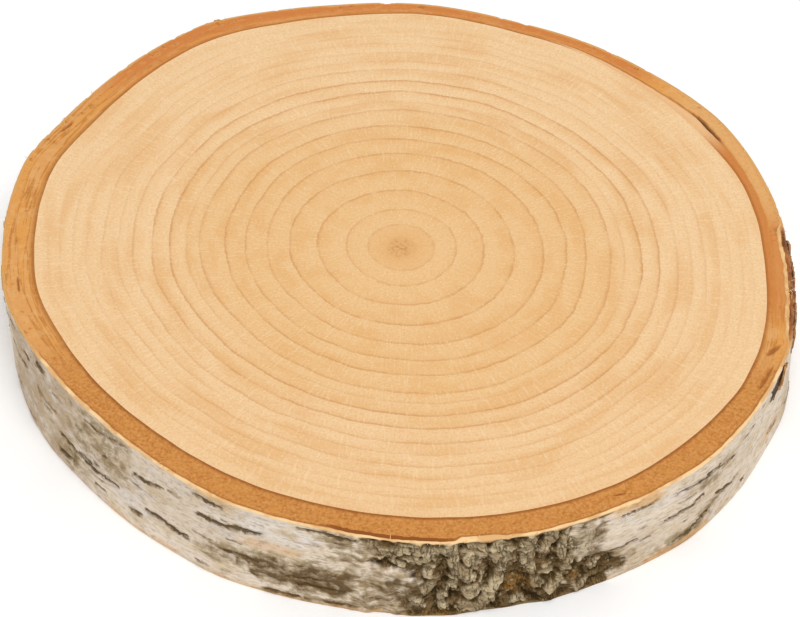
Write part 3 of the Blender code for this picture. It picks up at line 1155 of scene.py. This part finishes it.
def small_lenticels():
    """Short faint lenticels scattered between the named ones."""
    random = np.random.default_rng(LENTICEL_SEED)
    marks = []
    for _ in range(SMALL_LENTICELS):
        bearing, height = random.uniform(0, 360), random.uniform(1.5, 23.5)
        half, tall = random.uniform(0.8, 3.2), random.uniform(0.25, 0.45)
        slant, dark = random.uniform(-0.1, 0.1), random.uniform(0.3, 0.75)
        marks.append((bearing, height, half, tall, slant, dark))
    return marks


def lenticel_cover(bearings, heights, points):
    """How dark the cork of a lenticel is at each point of the wall, from 0 to 1."""
    wave = 0.3 * noise_at(points * (1, 1, 0.3), 6.0, 21)
    ragged = 0.35 * noise_at(points, 1.3, 22)
    cover = np.zeros(bearings.shape)
    for middle, high, half, tall, slant, dark in (*LENTICELS, *small_lenticels()):
        along = np.radians(turn_between(bearings, middle)) * NOMINAL_RADIUS
        up = heights - high - slant * along + wave * min(half / 4, 1.5)
        taper = np.sqrt(np.clip(1 - (along / half) ** 2, 0, 1))
        reach = np.maximum(tall * (0.2 + 0.8 * taper) * (1 + ragged), 0.05)
        inside = smooth(1.25 - np.abs(up) / reach * 0.75) * smooth(taper * 3)
        cover = np.maximum(cover, dark * inside)
    return cover


def plate_cover(bearings, heights, points):
    """How far a plate of old bark stands up at each point of the wall, from 0 to 1."""
    aside = 0.9 * noise_at(points, 2.6, 91) + 0.35 * noise_at(points, 1.0, 92)
    above = 0.9 * noise_at(points, 3.4, 94)
    ragged = 0.35 * noise_at(points, 1.2, 93)
    cover = np.zeros(bearings.shape)
    for middle, way in PATCHES:
        for turn, high, half, tall, lean, lift in PLATES:
            up = heights - high + above
            along = np.radians(turn_between(bearings, middle + way * turn)) * NOMINAL_RADIUS
            along = along + aside - way * lean * up
            reach = (np.abs(along / half) ** 2.6 + np.abs(up / tall) ** 2.6) ** (1 / 2.6)
            cover = np.maximum(cover, lift * smooth((1.25 + ragged - reach) / 0.7))
    return cover


def chip_cover(bearings, heights, points):
    """How strongly the painted shade of the hollow under the rim, where a chip broke out, covers each
    point.
    """
    middle, high, half, tall = CHIP
    along = np.radians(turn_between(bearings, middle)) * NOMINAL_RADIUS
    leaning = along - 0.5 * (heights - 23)
    away = (leaning / half) ** 2 + ((heights - high) / tall) ** 2
    ragged = noise_at(points, 2.2, 51) + 0.7 * noise_at(points, 0.9, 52)
    return smooth(1.5 - away - 0.9 * ragged)


def frayed_cover(bearings, points):
    """Where the sawn edge is ragged: here and there, and most of all at the front."""
    cover = 0.5 * smooth(noise_at(points * (1, 1, 0), 9.0, 95) * 2.5 - 0.3)
    for middle, half, strength in FRAYED:
        cover = cover + strength * smooth((half - np.abs(turn_between(bearings, middle))) / (half / 2))
    return np.clip(cover, 0, 1)


def white_bark_columns():
    """Bearings of the white bark's columns, closest together on the rugged patches."""
    stretches = [np.arange(start, end - step / 2, step) for start, end, step in BARK_SPANS]
    return np.concatenate(stretches)


def white_bark_rings(trunk, bearings):
    """The outer bark's loop of rings, its place on a true cylinder, and marks for its shader."""
    paper = trunk.around(trunk.paper, bearings)
    husk = trunk.around(trunk.husk, bearings)
    rim, foot = trunk.around(trunk.rim, bearings), trunk.around(trunk.foot, bearings)
    recess = BARK_RECESS * trunk.around(trunk.worn, bearings)
    around = on_trunk(NOMINAL_RADIUS, bearings, 0)
    torn = np.clip(noise_at(around, 3.4, 31) + 0.6 * noise_at(around, 1.3, 32) - 0.2, 0, 1)
    drop = 0.2 + 0.9 * torn
    loop = []
    # the sawn edge, from the inner bark out to the rim
    edge = ((0.0, 0.25, 1.0), (0.25, 0.4, 1.0), (0.5, 0.6, 1.0), (0.75, 0.8, 1.0), (0.97, 1.0, 0.8))
    for across, fall, sawn in edge:
        radius = rim - paper * (1 - across)
        crumbs = np.clip(0.5 + 1.2 * noise_at(on_trunk(radius, bearings, 3.0 * across), 1.3, 33), 0, 2)
        height = TOP - drop * fall - husk * crumbs * smooth(across * 2.5)
        loop.append((radius, height, sawn, 0.0, across))
    top, bottom = loop[-1][1] - 0.3, 0.4
    for row in range(WALL_ROWS):
        share = row / (WALL_ROWS - 1)
        nominal = TOP - 0.7 + (bottom - TOP + 0.7) * share
        skin = min(0.1 + share * 20, (1 - share) * 20 + 0.25, 1)
        sawn = husk * smooth((nominal - 20.5) / 2.5)
        radius = trunk.around(trunk.wall_at(nominal), bearings)
        loop.append((radius, top + (bottom - top) * share, sawn, skin, 1.0))
    for across, height, sawn in ((0.92, 0.06, 0.3), (0.5, 0.0, 0.9), (0.0, 0.0, 0.9)):
        loop.append((foot - paper * (1 - across), height, sawn, 0.0, across))
    loop.append((foot - paper - recess, 1.0, 0.0, 0.0, 0.0))
    loop.append((rim - paper - recess, TOP - 1.6, 0.0, 0.0, 0.0))
    rings = np.stack([on_trunk(radius, bearings, height) for radius, height, *_ in loop])
    wall = around[None].repeat(len(loop), 0)
    wall[..., 2] = rings[..., 2]
    marks = {"husk": husk, "front": trunk.around(trunk.front, bearings)}
    marks = {label: np.broadcast_to(values, wall.shape[:2]) for label, values in marks.items()}
    for place, label in enumerate(("sawn", "skin", "across"), 2):
        marks[label] = np.stack([row[place] + 0 * bearings for row in loop])
    return rings, wall, marks


def bark_furrows(tree, trunk):
    """Old bark's level cracks, its winding creases and its crumbs, for relief and colour alike."""
    warp = add(tree, "noise", trunk, 0.16, 2).outputs["Color"]
    centred = add(tree, "move", warp, (-0.5, -0.5, -0.5))
    bent = add(tree, "move", trunk, add(tree, "scale", centred, (3.5, 3.5, 3.5)))
    level = grain(tree, bent, (0.2, 0.2, 0.62), 3, 0.55)
    upright = grain(tree, bent, (0.42, 0.42, 0.13), 3, 0.55)
    creases = near_half(tree, upright, 0.006, 0.035)
    cracks = add(tree, "max", creases, add(tree, "*", near_half(tree, level, 0.006, 0.03), 0.7))
    lumps = grain(tree, bent, (0.36, 0.36, 0.5), 5, 0.62)
    return cracks, level, lumps


def plate_height(tree, plate, lumps):
    """How far old bark stands up: its plates, roughened by lumps."""
    return add(tree, "*+", add(tree, "-", lumps, 0.45), 1.5, add(tree, "*", plate, 0.75))


def bark_relief_tree():
    """Relief that the trunk's skin gets from its plates, lumps, wrinkles and lenticels."""
    inputs = {"Ridge": "NodeSocketFloat", "Wrinkle": "NodeSocketFloat", "Finish": "NodeSocketMaterial"}
    tree, given = geometry_tree("birch bark relief", inputs)
    trunk, skin, plate = read_marks(tree, "trunk", "skin", "plate")
    rugged, mottled, lenticel = read_marks(tree, "rugged", "mottled", "lenticel")
    cracks, level, lumps = bark_furrows(tree, trunk)
    crumb = add(tree, "-", lumps, 0.5)
    height = plate_height(tree, plate, lumps)
    ridge = add(tree, "*", given["Ridge"], add(tree, "*+", height, 2.3, -1.4))
    old = add(tree, "*+", cracks, -0.4, ridge)
    old = add(tree, "*+", add(tree, "-", level, 0.5), 1.2, old)
    # paper wrinkles run level round the trunk
    wrinkles = grain(tree, trunk, (0.11, 0.11, 1.0), 3)
    paper = add(tree, "*", add(tree, "-", wrinkles, 0.5), add(tree, "*", given["Wrinkle"], 2.0))
    scales = add(tree, "*", add(tree, "*+", paper, -0.6, add(tree, "*", crumb, 1.6)), mottled)
    lip = add(tree, "*", add(tree, "ramp", lenticel, 0.05, 0.4), 0.3)
    slot = add(tree, "*", add(tree, "ramp", lenticel, 0.45, 0.9), -0.7)
    smooth_bark = add(tree, "+", add(tree, "+", paper, scales), add(tree, "+", lip, slot))
    age = add(tree, "ramp", rugged, 0.02, 0.95)
    total = add(
        tree, "ShaderNodeMix", {"data_type": "FLOAT"}, {"Factor": age, "A": smooth_bark, "B": old}
    )
    out = add(tree, "unit", add(tree, "scale", trunk, (1, 1, 0)))
    far = add(tree, "*", add(tree, "*", total, skin), MM)
    shift = {"Geometry": given["Geometry"], "Offset": add(tree, "sized", out, far)}
    moved = add(tree, "GeometryNodeSetPosition", None, shift)
    end_tree(tree, moved, given["Finish"])
    return tree


def paper_tone(tree, settings, trunk, lumps):
    """White paper with cool, beige and dusty clouds, level streaks and thin dark hairs."""
    (dusty,) = read_marks(tree, "dusty")
    clouds = grain(tree, trunk, (0.05, 0.05, 0.13), 3, 0.5)
    warm = add(tree, "noise", add(tree, "scale", trunk, (0.1, 0.1, 0.22)), 1.3, 4, 0.6)
    streaks = grain(tree, trunk, (0.16, 0.16, 0.8), 5, 0.65)
    hairs = grain(tree, trunk, (0.2, 0.2, 2.2), 3, 0.6)
    tone = add(tree, "mix", add(tree, "ramp", clouds, 0.55, 0.61), settings.paper, settings.cool)
    tone = layered(
        tree,
        tone,
        (settings.beige, add(tree, "ramp", warm, 0.46, 0.68), 0.8),
        (settings.beige, add(tree, "ramp", streaks, 0.5, 0.72), 0.6),
        (settings.grey, add(tree, "ramp", hairs, 0.58, 0.74), 0.45),
        (settings.grey, add(tree, "ramp", lumps, 0.5, 0.72), 0.35),
    )
    dust = add(tree, "*", dusty, add(tree, "ramp", warm, 0.2, 0.55))
    return add(tree, "tint", tone, settings.dust, dust), streaks


def old_bark_tone(tree, settings, trunk, furrows):
    """Grey-tan plates with pale edges of painted highlight, over brown ground with rusty spots, and dark
    furrows that are partly painted shade.
    """
    plate, rusty = read_marks(tree, "plate", "rusty")
    cracks, level, lumps = furrows
    grit = add(tree, "noise", trunk, 1.5, 4, 0.75)
    # lumps break up the plates' borders and show as small plates on the ground between them
    broken = plate_height(tree, plate, lumps)
    # the ground is darkest in the low spots between its lumps: painted shade over its brown
    ground = add(tree, "mix", add(tree, "ramp", lumps, 0.4, 0.58), settings.fissure_cork_and_shade, settings.shade)
    brown = add(tree, "ramp", add(tree, "noise", trunk, 0.13, 2), 0.46, 0.6)
    ground = layered(tree, ground, (settings.brown, brown, 0.5))
    top = add(tree, "mix", add(tree, "ramp", lumps, 0.34, 0.6), settings.grey, settings.plate)
    green = add(tree, "ramp", add(tree, "noise", trunk, 0.14, 2), 0.5, 0.62)
    top = layered(
        tree,
        top,
        (settings.olive, green, 0.4),
        (settings.shade, brown, 0.4),
        # level bands that the relief raises are painted pale, partly their own pale crests and partly
        # painted highlight; the sunk ones get painted shade
        (settings.pale_crest_and_highlight, add(tree, "ramp", level, 0.52, 0.64), 0.7),
        (settings.shade, add(tree, "ramp", level, 0.46, 0.36), 0.55),
    )
    # painted shade: the ground is darkened the lower it lies
    ground = layered(tree, ground, (settings.fissure_cork_and_shade, add(tree, "ramp", broken, 0.12, -0.12), 0.75))
    tone = add(tree, "mix", add(tree, "ramp", broken, 0.16, 0.62), ground, top)
    # painted highlight along the plates' raised edges, which face the light
    rim = near_half(tree, add(tree, "-", broken, 0.12), 0.02, 0.14)
    tone = layered(
        tree,
        tone,
        (settings.pale_crest_and_highlight, rim, 0.3),
        (settings.fissure_cork_and_shade, add(tree, "ramp", grit, 0.46, 0.3), 0.55),
        (settings.pale_crest_and_highlight, add(tree, "ramp", grit, 0.56, 0.72), 0.5),
    )
    rust = add(tree, "*", rusty, add(tree, "ramp", grit, 0.38, 0.56))
    tone = layered(tree, tone, (settings.ochre, rust, 0.7))
    # the cracks are darkened, partly as their own dark cork and partly as painted shade
    return layered(tree, tone, (settings.fissure_cork_and_shade, cracks, 0.7))


def sawn_edge_tone(tree, settings, trunk):
    """The outer bark's sawn edge: cream at the front, browner behind, dark and rough at the husk."""
    front, husk_here, across = read_marks(tree, "front", "husk", "across")
    layers = grain(tree, trunk, (0.2, 0.2, 1.6), 3)
    cream = add(tree, "mix", add(tree, "ramp", layers, 0.4, 0.62), settings.cream, settings.peach)
    behind = add(tree, "ramp", add(tree, "*+", layers, 0.4, front), 0.75, 0.35)
    # a pale layer shows inside the husk
    behind = add(tree, "*", behind, add(tree, "*+", husk_here, -0.75, 1.0))
    tone = layered(tree, cream, (settings.tan, behind, 0.9))
    # the husk's layers run along the rim
    stack = stacked(tree, trunk, 0.16, add(tree, "*", across, 2.6))
    strands = add(tree, "noise", stack, 1.0, 4, 0.65)
    husk = add(tree, "mix", add(tree, "ramp", strands, 0.42, 0.56), settings.husk, settings.ruddy)
    husk = layered(tree, husk, (settings.tan, add(tree, "ramp", strands, 0.58, 0.68), 0.8))
    border = add(tree, "*+", strands, 0.5, add(tree, "-", across, 0.25))
    rough = add(tree, "*", husk_here, add(tree, "ramp", border, 0.4, 0.5))
    return add(tree, "mix", rough, tone, husk)


def white_birch_bark(settings):
    """Birch bark: matt papery white cork, with dark dry lenticels and grey plates where it is old."""
    finish, tree = new_material("white birch bark")
    trunk, rugged, mottled, peach, lenticel, chip, sawn = read_marks(
        tree, "trunk", "rugged", "mottled", "peach", "lenticel", "chip", "sawn"
    )
    furrows = bark_furrows(tree, trunk)
    lumps = furrows[2]
    tone, streaks = paper_tone(tree, settings, trunk, lumps)
    # weathered zones break up into level streaks and crumbs
    crumbs = add(tree, "*+", streaks, 0.4, add(tree, "*", lumps, 0.6))
    worn = add(tree, "*+", mottled, 0.2, crumbs)
    grey = add(tree, "*", add(tree, "ramp", worn, 0.48, 0.64), add(tree, "ramp", mottled, 0.0, 0.4))
    dark = add(tree, "*", add(tree, "ramp", worn, 0.6, 0.76), add(tree, "ramp", mottled, 0.15, 0.7))
    tone = layered(
        tree,
        tone,
        (settings.grey, grey, 0.85),
        (settings.slot, dark, 0.9),
        (settings.peach, peach, 0.8),
    )
    old = old_bark_tone(tree, settings, trunk, furrows)
    torn = add(tree, "*+", crumbs, 0.8, add(tree, "-", rugged, 0.4))
    tone = add(tree, "mix", add(tree, "ramp", torn, 0.2, 0.5), tone, old)
    # a lenticel's border is frayed, with grey dust round it
    fray = grain(tree, trunk, (0.45, 0.45, 1.8), 4, 0.7)
    cork = add(tree, "+", lenticel, add(tree, "*+", fray, 2.2, -1.1))
    tone = layered(
        tree,
        tone,
        (settings.brown, add(tree, "ramp", cork, -0.05, 0.4), 0.45),
        (settings.slot, add(tree, "ramp", cork, 0.34, 0.8), 0.85),
    )
    # painted shade in the hollow where a chip broke out, broken up by the lumps
    hollow = add(tree, "ramp", chip, 0.1, 0.45)
    tone = layered(tree, tone, (settings.hollow, hollow, add(tree, "*+", lumps, -0.5, 1.2)))
    tone = add(tree, "mix", sawn, tone, sawn_edge_tone(tree, settings, trunk))
    surface = {"Roughness": 0.72, "IOR": 1.5, "Specular IOR Level": 0.07}
    end_material(tree, tone, surface, add(tree, "*+", streaks, 0.6, lumps), 0.2, 0.6)
    return finish


class BIRCH_OT_white_bark(bpy.types.Operator):
    """Makes the papery white bark with its lenticels and its rugged patches"""

    bl_idname = "birch.white_bark"
    bl_label = "White bark"

    def execute(self, context):
        settings = context.scene.birch_slice.white
        columns = white_bark_columns()
        rings, wall, marks = white_bark_rings(Trunk(), columns)
        bearings = np.broadcast_to(columns, wall.shape[:2])
        heights = wall[..., 2]
        tables = {
            "rugged": (RUGGED, 2.2),
            "mottled": (MOTTLED, 2.6),
            "peach": (PEACH, 1.0),
            "dusty": (DUSTY, 3.5),
            "rusty": (RUSTY, 0.6),
        }
        for seed, (label, (table, softness)) in enumerate(tables.items()):
            marks[label] = patches(table, bearings, heights, wall, 61 + 5 * seed, softness)
        marks["lenticel"] = lenticel_cover(bearings, heights, wall)
        marks["plate"] = plate_cover(bearings, heights, wall)
        marks["frayed"] = frayed_cover(bearings, wall) * (marks["sawn"] > 0.9) * (heights > TOP / 2)
        marks["chip"] = chip_cover(bearings, heights, wall) * marks["skin"]
        attributes = {label: values.ravel() for label, values in marks.items()}
        piece = turned_mesh("white_bark", rings, None, {"trunk": wall, **attributes})
        values = {
            "Ridge": settings.ridge / MM,
            "Wrinkle": settings.wrinkle / MM,
            "Finish": white_birch_bark(settings),
        }
        run_tree(piece, bark_relief_tree(), values)
        dress(piece)
        return {"FINISHED"}


# Lichen, fibres and flakes


def copy_of_bark(context, name):
    """A new object that starts as a copy of the white bark, for a tree to scatter over."""
    bark = bpy.data.objects.get("white_bark")
    if bark is None:
        raise RuntimeError("Make the white bark first")
    piece = bpy.data.objects.new(name, bark.data.copy())
    context.scene.collection.objects.link(piece)
    return piece


def scattered(tree, given, density, solid, scale, turned=None):
    """Copies of a small solid over the given surface, square on it unless they are turned."""
    where = {"Mesh": given["Geometry"], "Density": density, "Seed": given["Seed"]}
    points = add(tree, "GeometryNodeDistributePointsOnFaces", {"distribute_method": "RANDOM"}, where)
    placed = {
        "Points": points.outputs["Points"],
        "Instance": solid,
        "Rotation": turned or points.outputs["Rotation"],
        "Scale": scale,
    }
    return add(tree, "GeometryNodeInstanceOnPoints", None, placed)


def crust_lichen(settings):
    """Crustose lichen and loose cork crumbs: dead matt, grey-green with pale rims."""
    finish, tree = new_material("grey crust lichen")
    place = millimetre_space(tree)
    patchy = add(tree, "ramp", add(tree, "noise", place, 0.8, 3), 0.4, 0.65)
    tone = add(tree, "mix", patchy, settings.lichen, settings.lichen_pale)
    dark = add(tree, "ramp", add(tree, "noise", place, 0.35, 2), 0.55, 0.4)
    tone = layered(tree, tone, (settings.lichen_dark, dark, 0.6))
    surface = {"Roughness": 0.9, "Specular IOR Level": 0.1}
    end_material(tree, tone, surface, add(tree, "noise", place, 2.5, 2), 0.1, 0.5)
    return finish


def lichen_tree():
    """Crumbs of lichen and cork on the rugged bark, flattened against it."""
    inputs = {"Size": "NodeSocketFloat", "Seed": "NodeSocketInt", "Finish": "NodeSocketMaterial"}
    tree, given = geometry_tree("crust lichen", inputs)
    rugged, skin = read_marks(tree, "rugged", "skin")
    density = add(tree, "*", add(tree, "*", add(tree, "ramp", rugged, 0.5, 1.0), skin), 7e4)
    crumb = add(tree, "GeometryNodeMeshIcoSphere", None, {"Radius": 1.0, "Subdivisions": 2})
    size = add(tree, "drawn each way", (0.3, 0.3, 0.12), (0.6, 0.6, 0.25), given["Seed"])
    placed = scattered(tree, given, density, crumb, add(tree, "sized", size, given["Size"]))
    end_tree(tree, placed, given["Finish"])
    return tree


class BIRCH_OT_lichen_crust(bpy.types.Operator):
    """Makes the crumbs of lichen and cork that sit on the rugged bark"""

    bl_idname = "birch.lichen_crust"
    bl_label = "Lichen crust"

    def execute(self, context):
        settings = context.scene.birch_slice.breakage
        piece = copy_of_bark(context, "lichen_crust")
        values = {"Size": settings.crust_size, "Seed": LICHEN_SEED, "Finish": crust_lichen(settings)}
        run_tree(piece, lichen_tree(), values)
        dress(piece)
        return {"FINISHED"}


def torn_fibre(settings):
    """Torn wood fibre: pale, silky and dry."""
    finish, tree = new_material("torn birch fibre")
    place = millimetre_space(tree)
    tone = add(tree, "mix", add(tree, "noise", place, 0.6, 2), settings.fibre, settings.fibre_tan)
    surface = {"Roughness": 0.6, "Specular IOR Level": 0.2}
    end_material(tree, tone, surface)
    return finish


def torn_fibre_tree():
    """Thin fibres that the saw left standing on the ragged stretches of the sawn edge."""
    inputs = {"Length": "NodeSocketFloat", "Seed": "NodeSocketInt", "Finish": "NodeSocketMaterial"}
    tree, given = geometry_tree("torn fibre", inputs)
    (frayed,) = read_marks(tree, "frayed")
    thin = {"Vertices": 5, "Radius Top": 0.02, "Radius Bottom": 0.09, "Depth": 1.0}
    fibre = add(tree, "GeometryNodeMeshCone", None, thin)
    lying = add(tree, "drawn each way", (1.15, -0.3, -3.1), (1.85, 0.3, 3.1), given["Seed"])
    length = add(tree, "*", add(tree, "drawn", 0.45, 1.2, given["Seed"]), given["Length"])
    placed = scattered(tree, given, add(tree, "*", frayed, 1.6e6), fibre, length, lying)
    end_tree(tree, placed, given["Finish"])
    return tree


class BIRCH_OT_torn_fibres(bpy.types.Operator):
    """Makes the fibres that stand on the ragged sawn edge of the bark"""

    bl_idname = "birch.torn_fibres"
    bl_label = "Torn fibres"

    def execute(self, context):
        settings = context.scene.birch_slice.breakage
        piece = copy_of_bark(context, "torn_fibres")
        values = {"Length": settings.fibre_length, "Seed": FIBRE_SEED, "Finish": torn_fibre(settings)}
        run_tree(piece, torn_fibre_tree(), values)
        dress(piece)
        return {"FINISHED"}


def lifted_bark(settings):
    """Lifted flakes of outer bark: leathery dark underside, tan papery face."""
    finish, tree = new_material("lifted birch cork")
    (paleness,) = read_marks(tree, "tone")
    place = millimetre_space(tree)
    tone = add(tree, "mix", paleness, settings.flake_dark, settings.flake_pale)
    streaks = grain(tree, place, (0.5, 0.5, 2.0), 4, 0.65)
    tone = layered(
        tree,
        tone,
        (settings.flake_pale, add(tree, "ramp", streaks, 0.5, 0.7), 0.6),
        (settings.flake_streak, add(tree, "ramp", streaks, 0.48, 0.34), 0.8),
    )
    surface = {"Roughness": 0.7, "Specular IOR Level": 0.1}
    end_material(tree, tone, surface, streaks, 0.2, 0.6)
    return finish


def flake_loops(trunk, flake, seed):
    """One lifted flake of bark: a loop of points for each bearing, up its face and down its back."""
    start, end, low, high, foot_gap, top_gap, _ = flake
    turns = np.linspace(start, end, FLAKE_COLUMNS)
    around = on_trunk(NOMINAL_RADIUS, turns, 10.0 * seed)
    tall = high - low
    edge = np.sqrt(np.sin(np.linspace(0.05, math.pi - 0.05, FLAKE_COLUMNS)))
    ragged = 0.6 * (1 - edge) + 0.3 * noise_at(around, 3.0, 71) + 0.15 * noise_at(around, 0.9, 72)
    foot = low + tall * ragged
    foot = np.minimum(foot, TOP - 0.9)
    top = foot + np.maximum(tall * edge + np.minimum(2.2 * noise_at(around, 1.4, 73), 0.2), 0.4)
    top = np.minimum(top, TOP - 0.1)
    loop = []
    for share in np.linspace(0, 1, FLAKE_ROWS):
        heights = foot + (top - foot) * share
        wall = [trunk.around(trunk.wall_at(height), turn) for height, turn in zip(heights, turns)]
        curl = 0.25 * noise_at(around + (0, 0, 4 * share), 3.0, 74)
        lift = foot_gap + (top_gap - foot_gap) * share**1.5 + curl
        loop.append(on_trunk(wall + lift, turns, heights))
    shrink = 1 - FLAKE_THICK / NOMINAL_RADIUS
    back = [row * (shrink, shrink, 1) for row in loop[::-1]]
    return np.stack(loop + back, 1)


class BIRCH_OT_bark_flakes(bpy.types.Operator):
    """Makes the flakes of outer bark that have lifted at the rim"""

    bl_idname = "birch.bark_flakes"
    bl_label = "Bark flakes"

    def execute(self, context):
        settings = context.scene.birch_slice.breakage
        trunk = Trunk()
        points, faces, tones = [], [], []
        for seed, flake in enumerate(FLAKES):
            loops = flake_loops(trunk, flake, seed)
            count = loops.shape[0] * loops.shape[1]
            index = np.arange(count).reshape(loops.shape[:2]) + len(points)
            after = np.roll(index, -1, 1)
            quads = np.stack([index[:-1], index[1:], after[1:], after[:-1]], -1).reshape(-1, 4).tolist()
            # each end is closed by a ladder of quads from the face to the back
            for ends, way in ((index[0], 1), (index[-1], -1)):
                quads += [
                    [ends[row], ends[row + 1], ends[-2 - row], ends[-1 - row]][::way]
                    for row in range(FLAKE_ROWS - 1)
                ]
            faces += quads
            points += (loops.reshape(-1, 3) * MM).tolist()
            tones += [flake[-1]] * count
        mesh = bpy.data.meshes.new("bark_flakes")
        mesh.from_pydata(points, [], faces)
        mesh.attributes.new("tone", "FLOAT", "POINT").data.foreach_set("value", tones)
        mesh.shade_smooth()
        mesh.set_sharp_from_angle(angle=math.radians(60))
        mesh.materials.append(lifted_bark(settings))
        piece = bpy.data.objects.new("bark_flakes", mesh)
        context.scene.collection.objects.link(piece)
        dress(piece)
        return {"FINISHED"}


# Table, light and camera


def make_floor(settings):
    """A plain pale table top that the slice lies on."""
    bpy.ops.mesh.primitive_plane_add(size=FLOOR_WIDTH, location=(0, 0, LOW.z))
    floor = bpy.context.object
    floor.name = "floor"
    finish, tree = new_material("matt white table")
    shader = tree.nodes["Principled BSDF"]
    shader.inputs["Base Color"].default_value = (*settings.floor, 1.0)
    shader.inputs["Roughness"].default_value = 0.9
    shader.inputs["Specular IOR Level"].default_value = 0.0
    floor.data.materials.append(finish)


def make_light(settings):
    """A white world and one broad soft light high up, a little to the front."""
    world = bpy.data.worlds.new("white studio")
    world.use_nodes = True
    background = world.node_tree.nodes["Background"]
    background.inputs["Color"].default_value = (1, 1, 1, 1)
    background.inputs["Strength"].default_value = settings.sky
    bpy.context.scene.world = world
    lamp = bpy.data.lights.new("soft_key", "AREA")
    lamp.shape = "DISK"
    lamp.size = LAMP_WIDTH
    lamp.energy = settings.key
    key = bpy.data.objects.new("soft_key", lamp)
    key.location = LAMP_PLACE
    key.rotation_euler = (-key.location).to_track_quat("-Z", "Y").to_euler()
    bpy.context.scene.collection.objects.link(key)


def make_camera(context, settings):
    """A long lens that looks down at the slice from the front."""
    back = Vector((0, -math.cos(settings.elevation), math.sin(settings.elevation)))
    lens = bpy.data.cameras.new("camera")
    lens.sensor_width = SENSOR
    lens.lens = LENS
    lens.clip_start = 0.01
    camera = bpy.data.objects.new("camera", lens)
    camera.location = Vector(LOOK_AT) + back * settings.distance
    camera.rotation_euler = (-back).to_track_quat("-Z", "Y").to_euler()
    context.scene.collection.objects.link(camera)
    context.scene.camera = camera


class BIRCH_OT_stage(bpy.types.Operator):
    """Makes the plain table, the soft light and the camera"""

    bl_idname = "birch.stage"
    bl_label = "Stage"

    def execute(self, context):
        settings = context.scene.birch_slice.stage
        context.scene.view_settings.view_transform = "Standard"
        make_floor(settings)
        make_light(settings)
        make_camera(context, settings)
        return {"FINISHED"}


# Panel and registration


class BIRCH_PT_slice(bpy.types.Panel):
    """Lists the slice's pieces and their settings"""

    bl_idname = "BIRCH_PT_slice"
    bl_label = "Birch wood slice"
    bl_space_type = "VIEW_3D"
    bl_region_type = "UI"
    bl_category = "Wood slice"

    def draw(self, context):
        settings = context.scene.birch_slice
        for operator, group in PIECES:
            box = self.layout.box()
            box.operator(operator.bl_idname)
            chosen = getattr(settings, group)
            for name in type(chosen).__annotations__:
                box.prop(chosen, name)


PIECES = (
    (BIRCH_OT_sawn_wood, "wood"),
    (BIRCH_OT_inner_bark, "inner"),
    (BIRCH_OT_white_bark, "white"),
    (BIRCH_OT_lichen_crust, "breakage"),
    (BIRCH_OT_torn_fibres, "breakage"),
    (BIRCH_OT_bark_flakes, "breakage"),
    (BIRCH_OT_stage, "stage"),
)

CLASSES = (
    SawnWoodSettings,
    InnerBarkSettings,
    WhiteBarkSettings,
    BreakageSettings,
    StageSettings,
    SliceSettings,
    *(operator for operator, _ in PIECES),
    BIRCH_PT_slice,
)


def register():
    for item in CLASSES:
        bpy.utils.register_class(item)
    bpy.types.Scene.birch_slice = bpy.props.PointerProperty(type=SliceSettings)


def unregister():
    del bpy.types.Scene.birch_slice
    for item in reversed(CLASSES):
        bpy.utils.unregister_class(item)


def main():
    """Makes the slice and its stage."""
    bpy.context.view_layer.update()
    register()
    bpy.ops.birch.sawn_wood()
    bpy.ops.birch.inner_bark()
    bpy.ops.birch.white_bark()
    bpy.ops.birch.lichen_crust()
    bpy.ops.birch.torn_fibres()
    bpy.ops.birch.bark_flakes()
    bpy.ops.birch.stage()


if __name__ == "__main__":
    main()
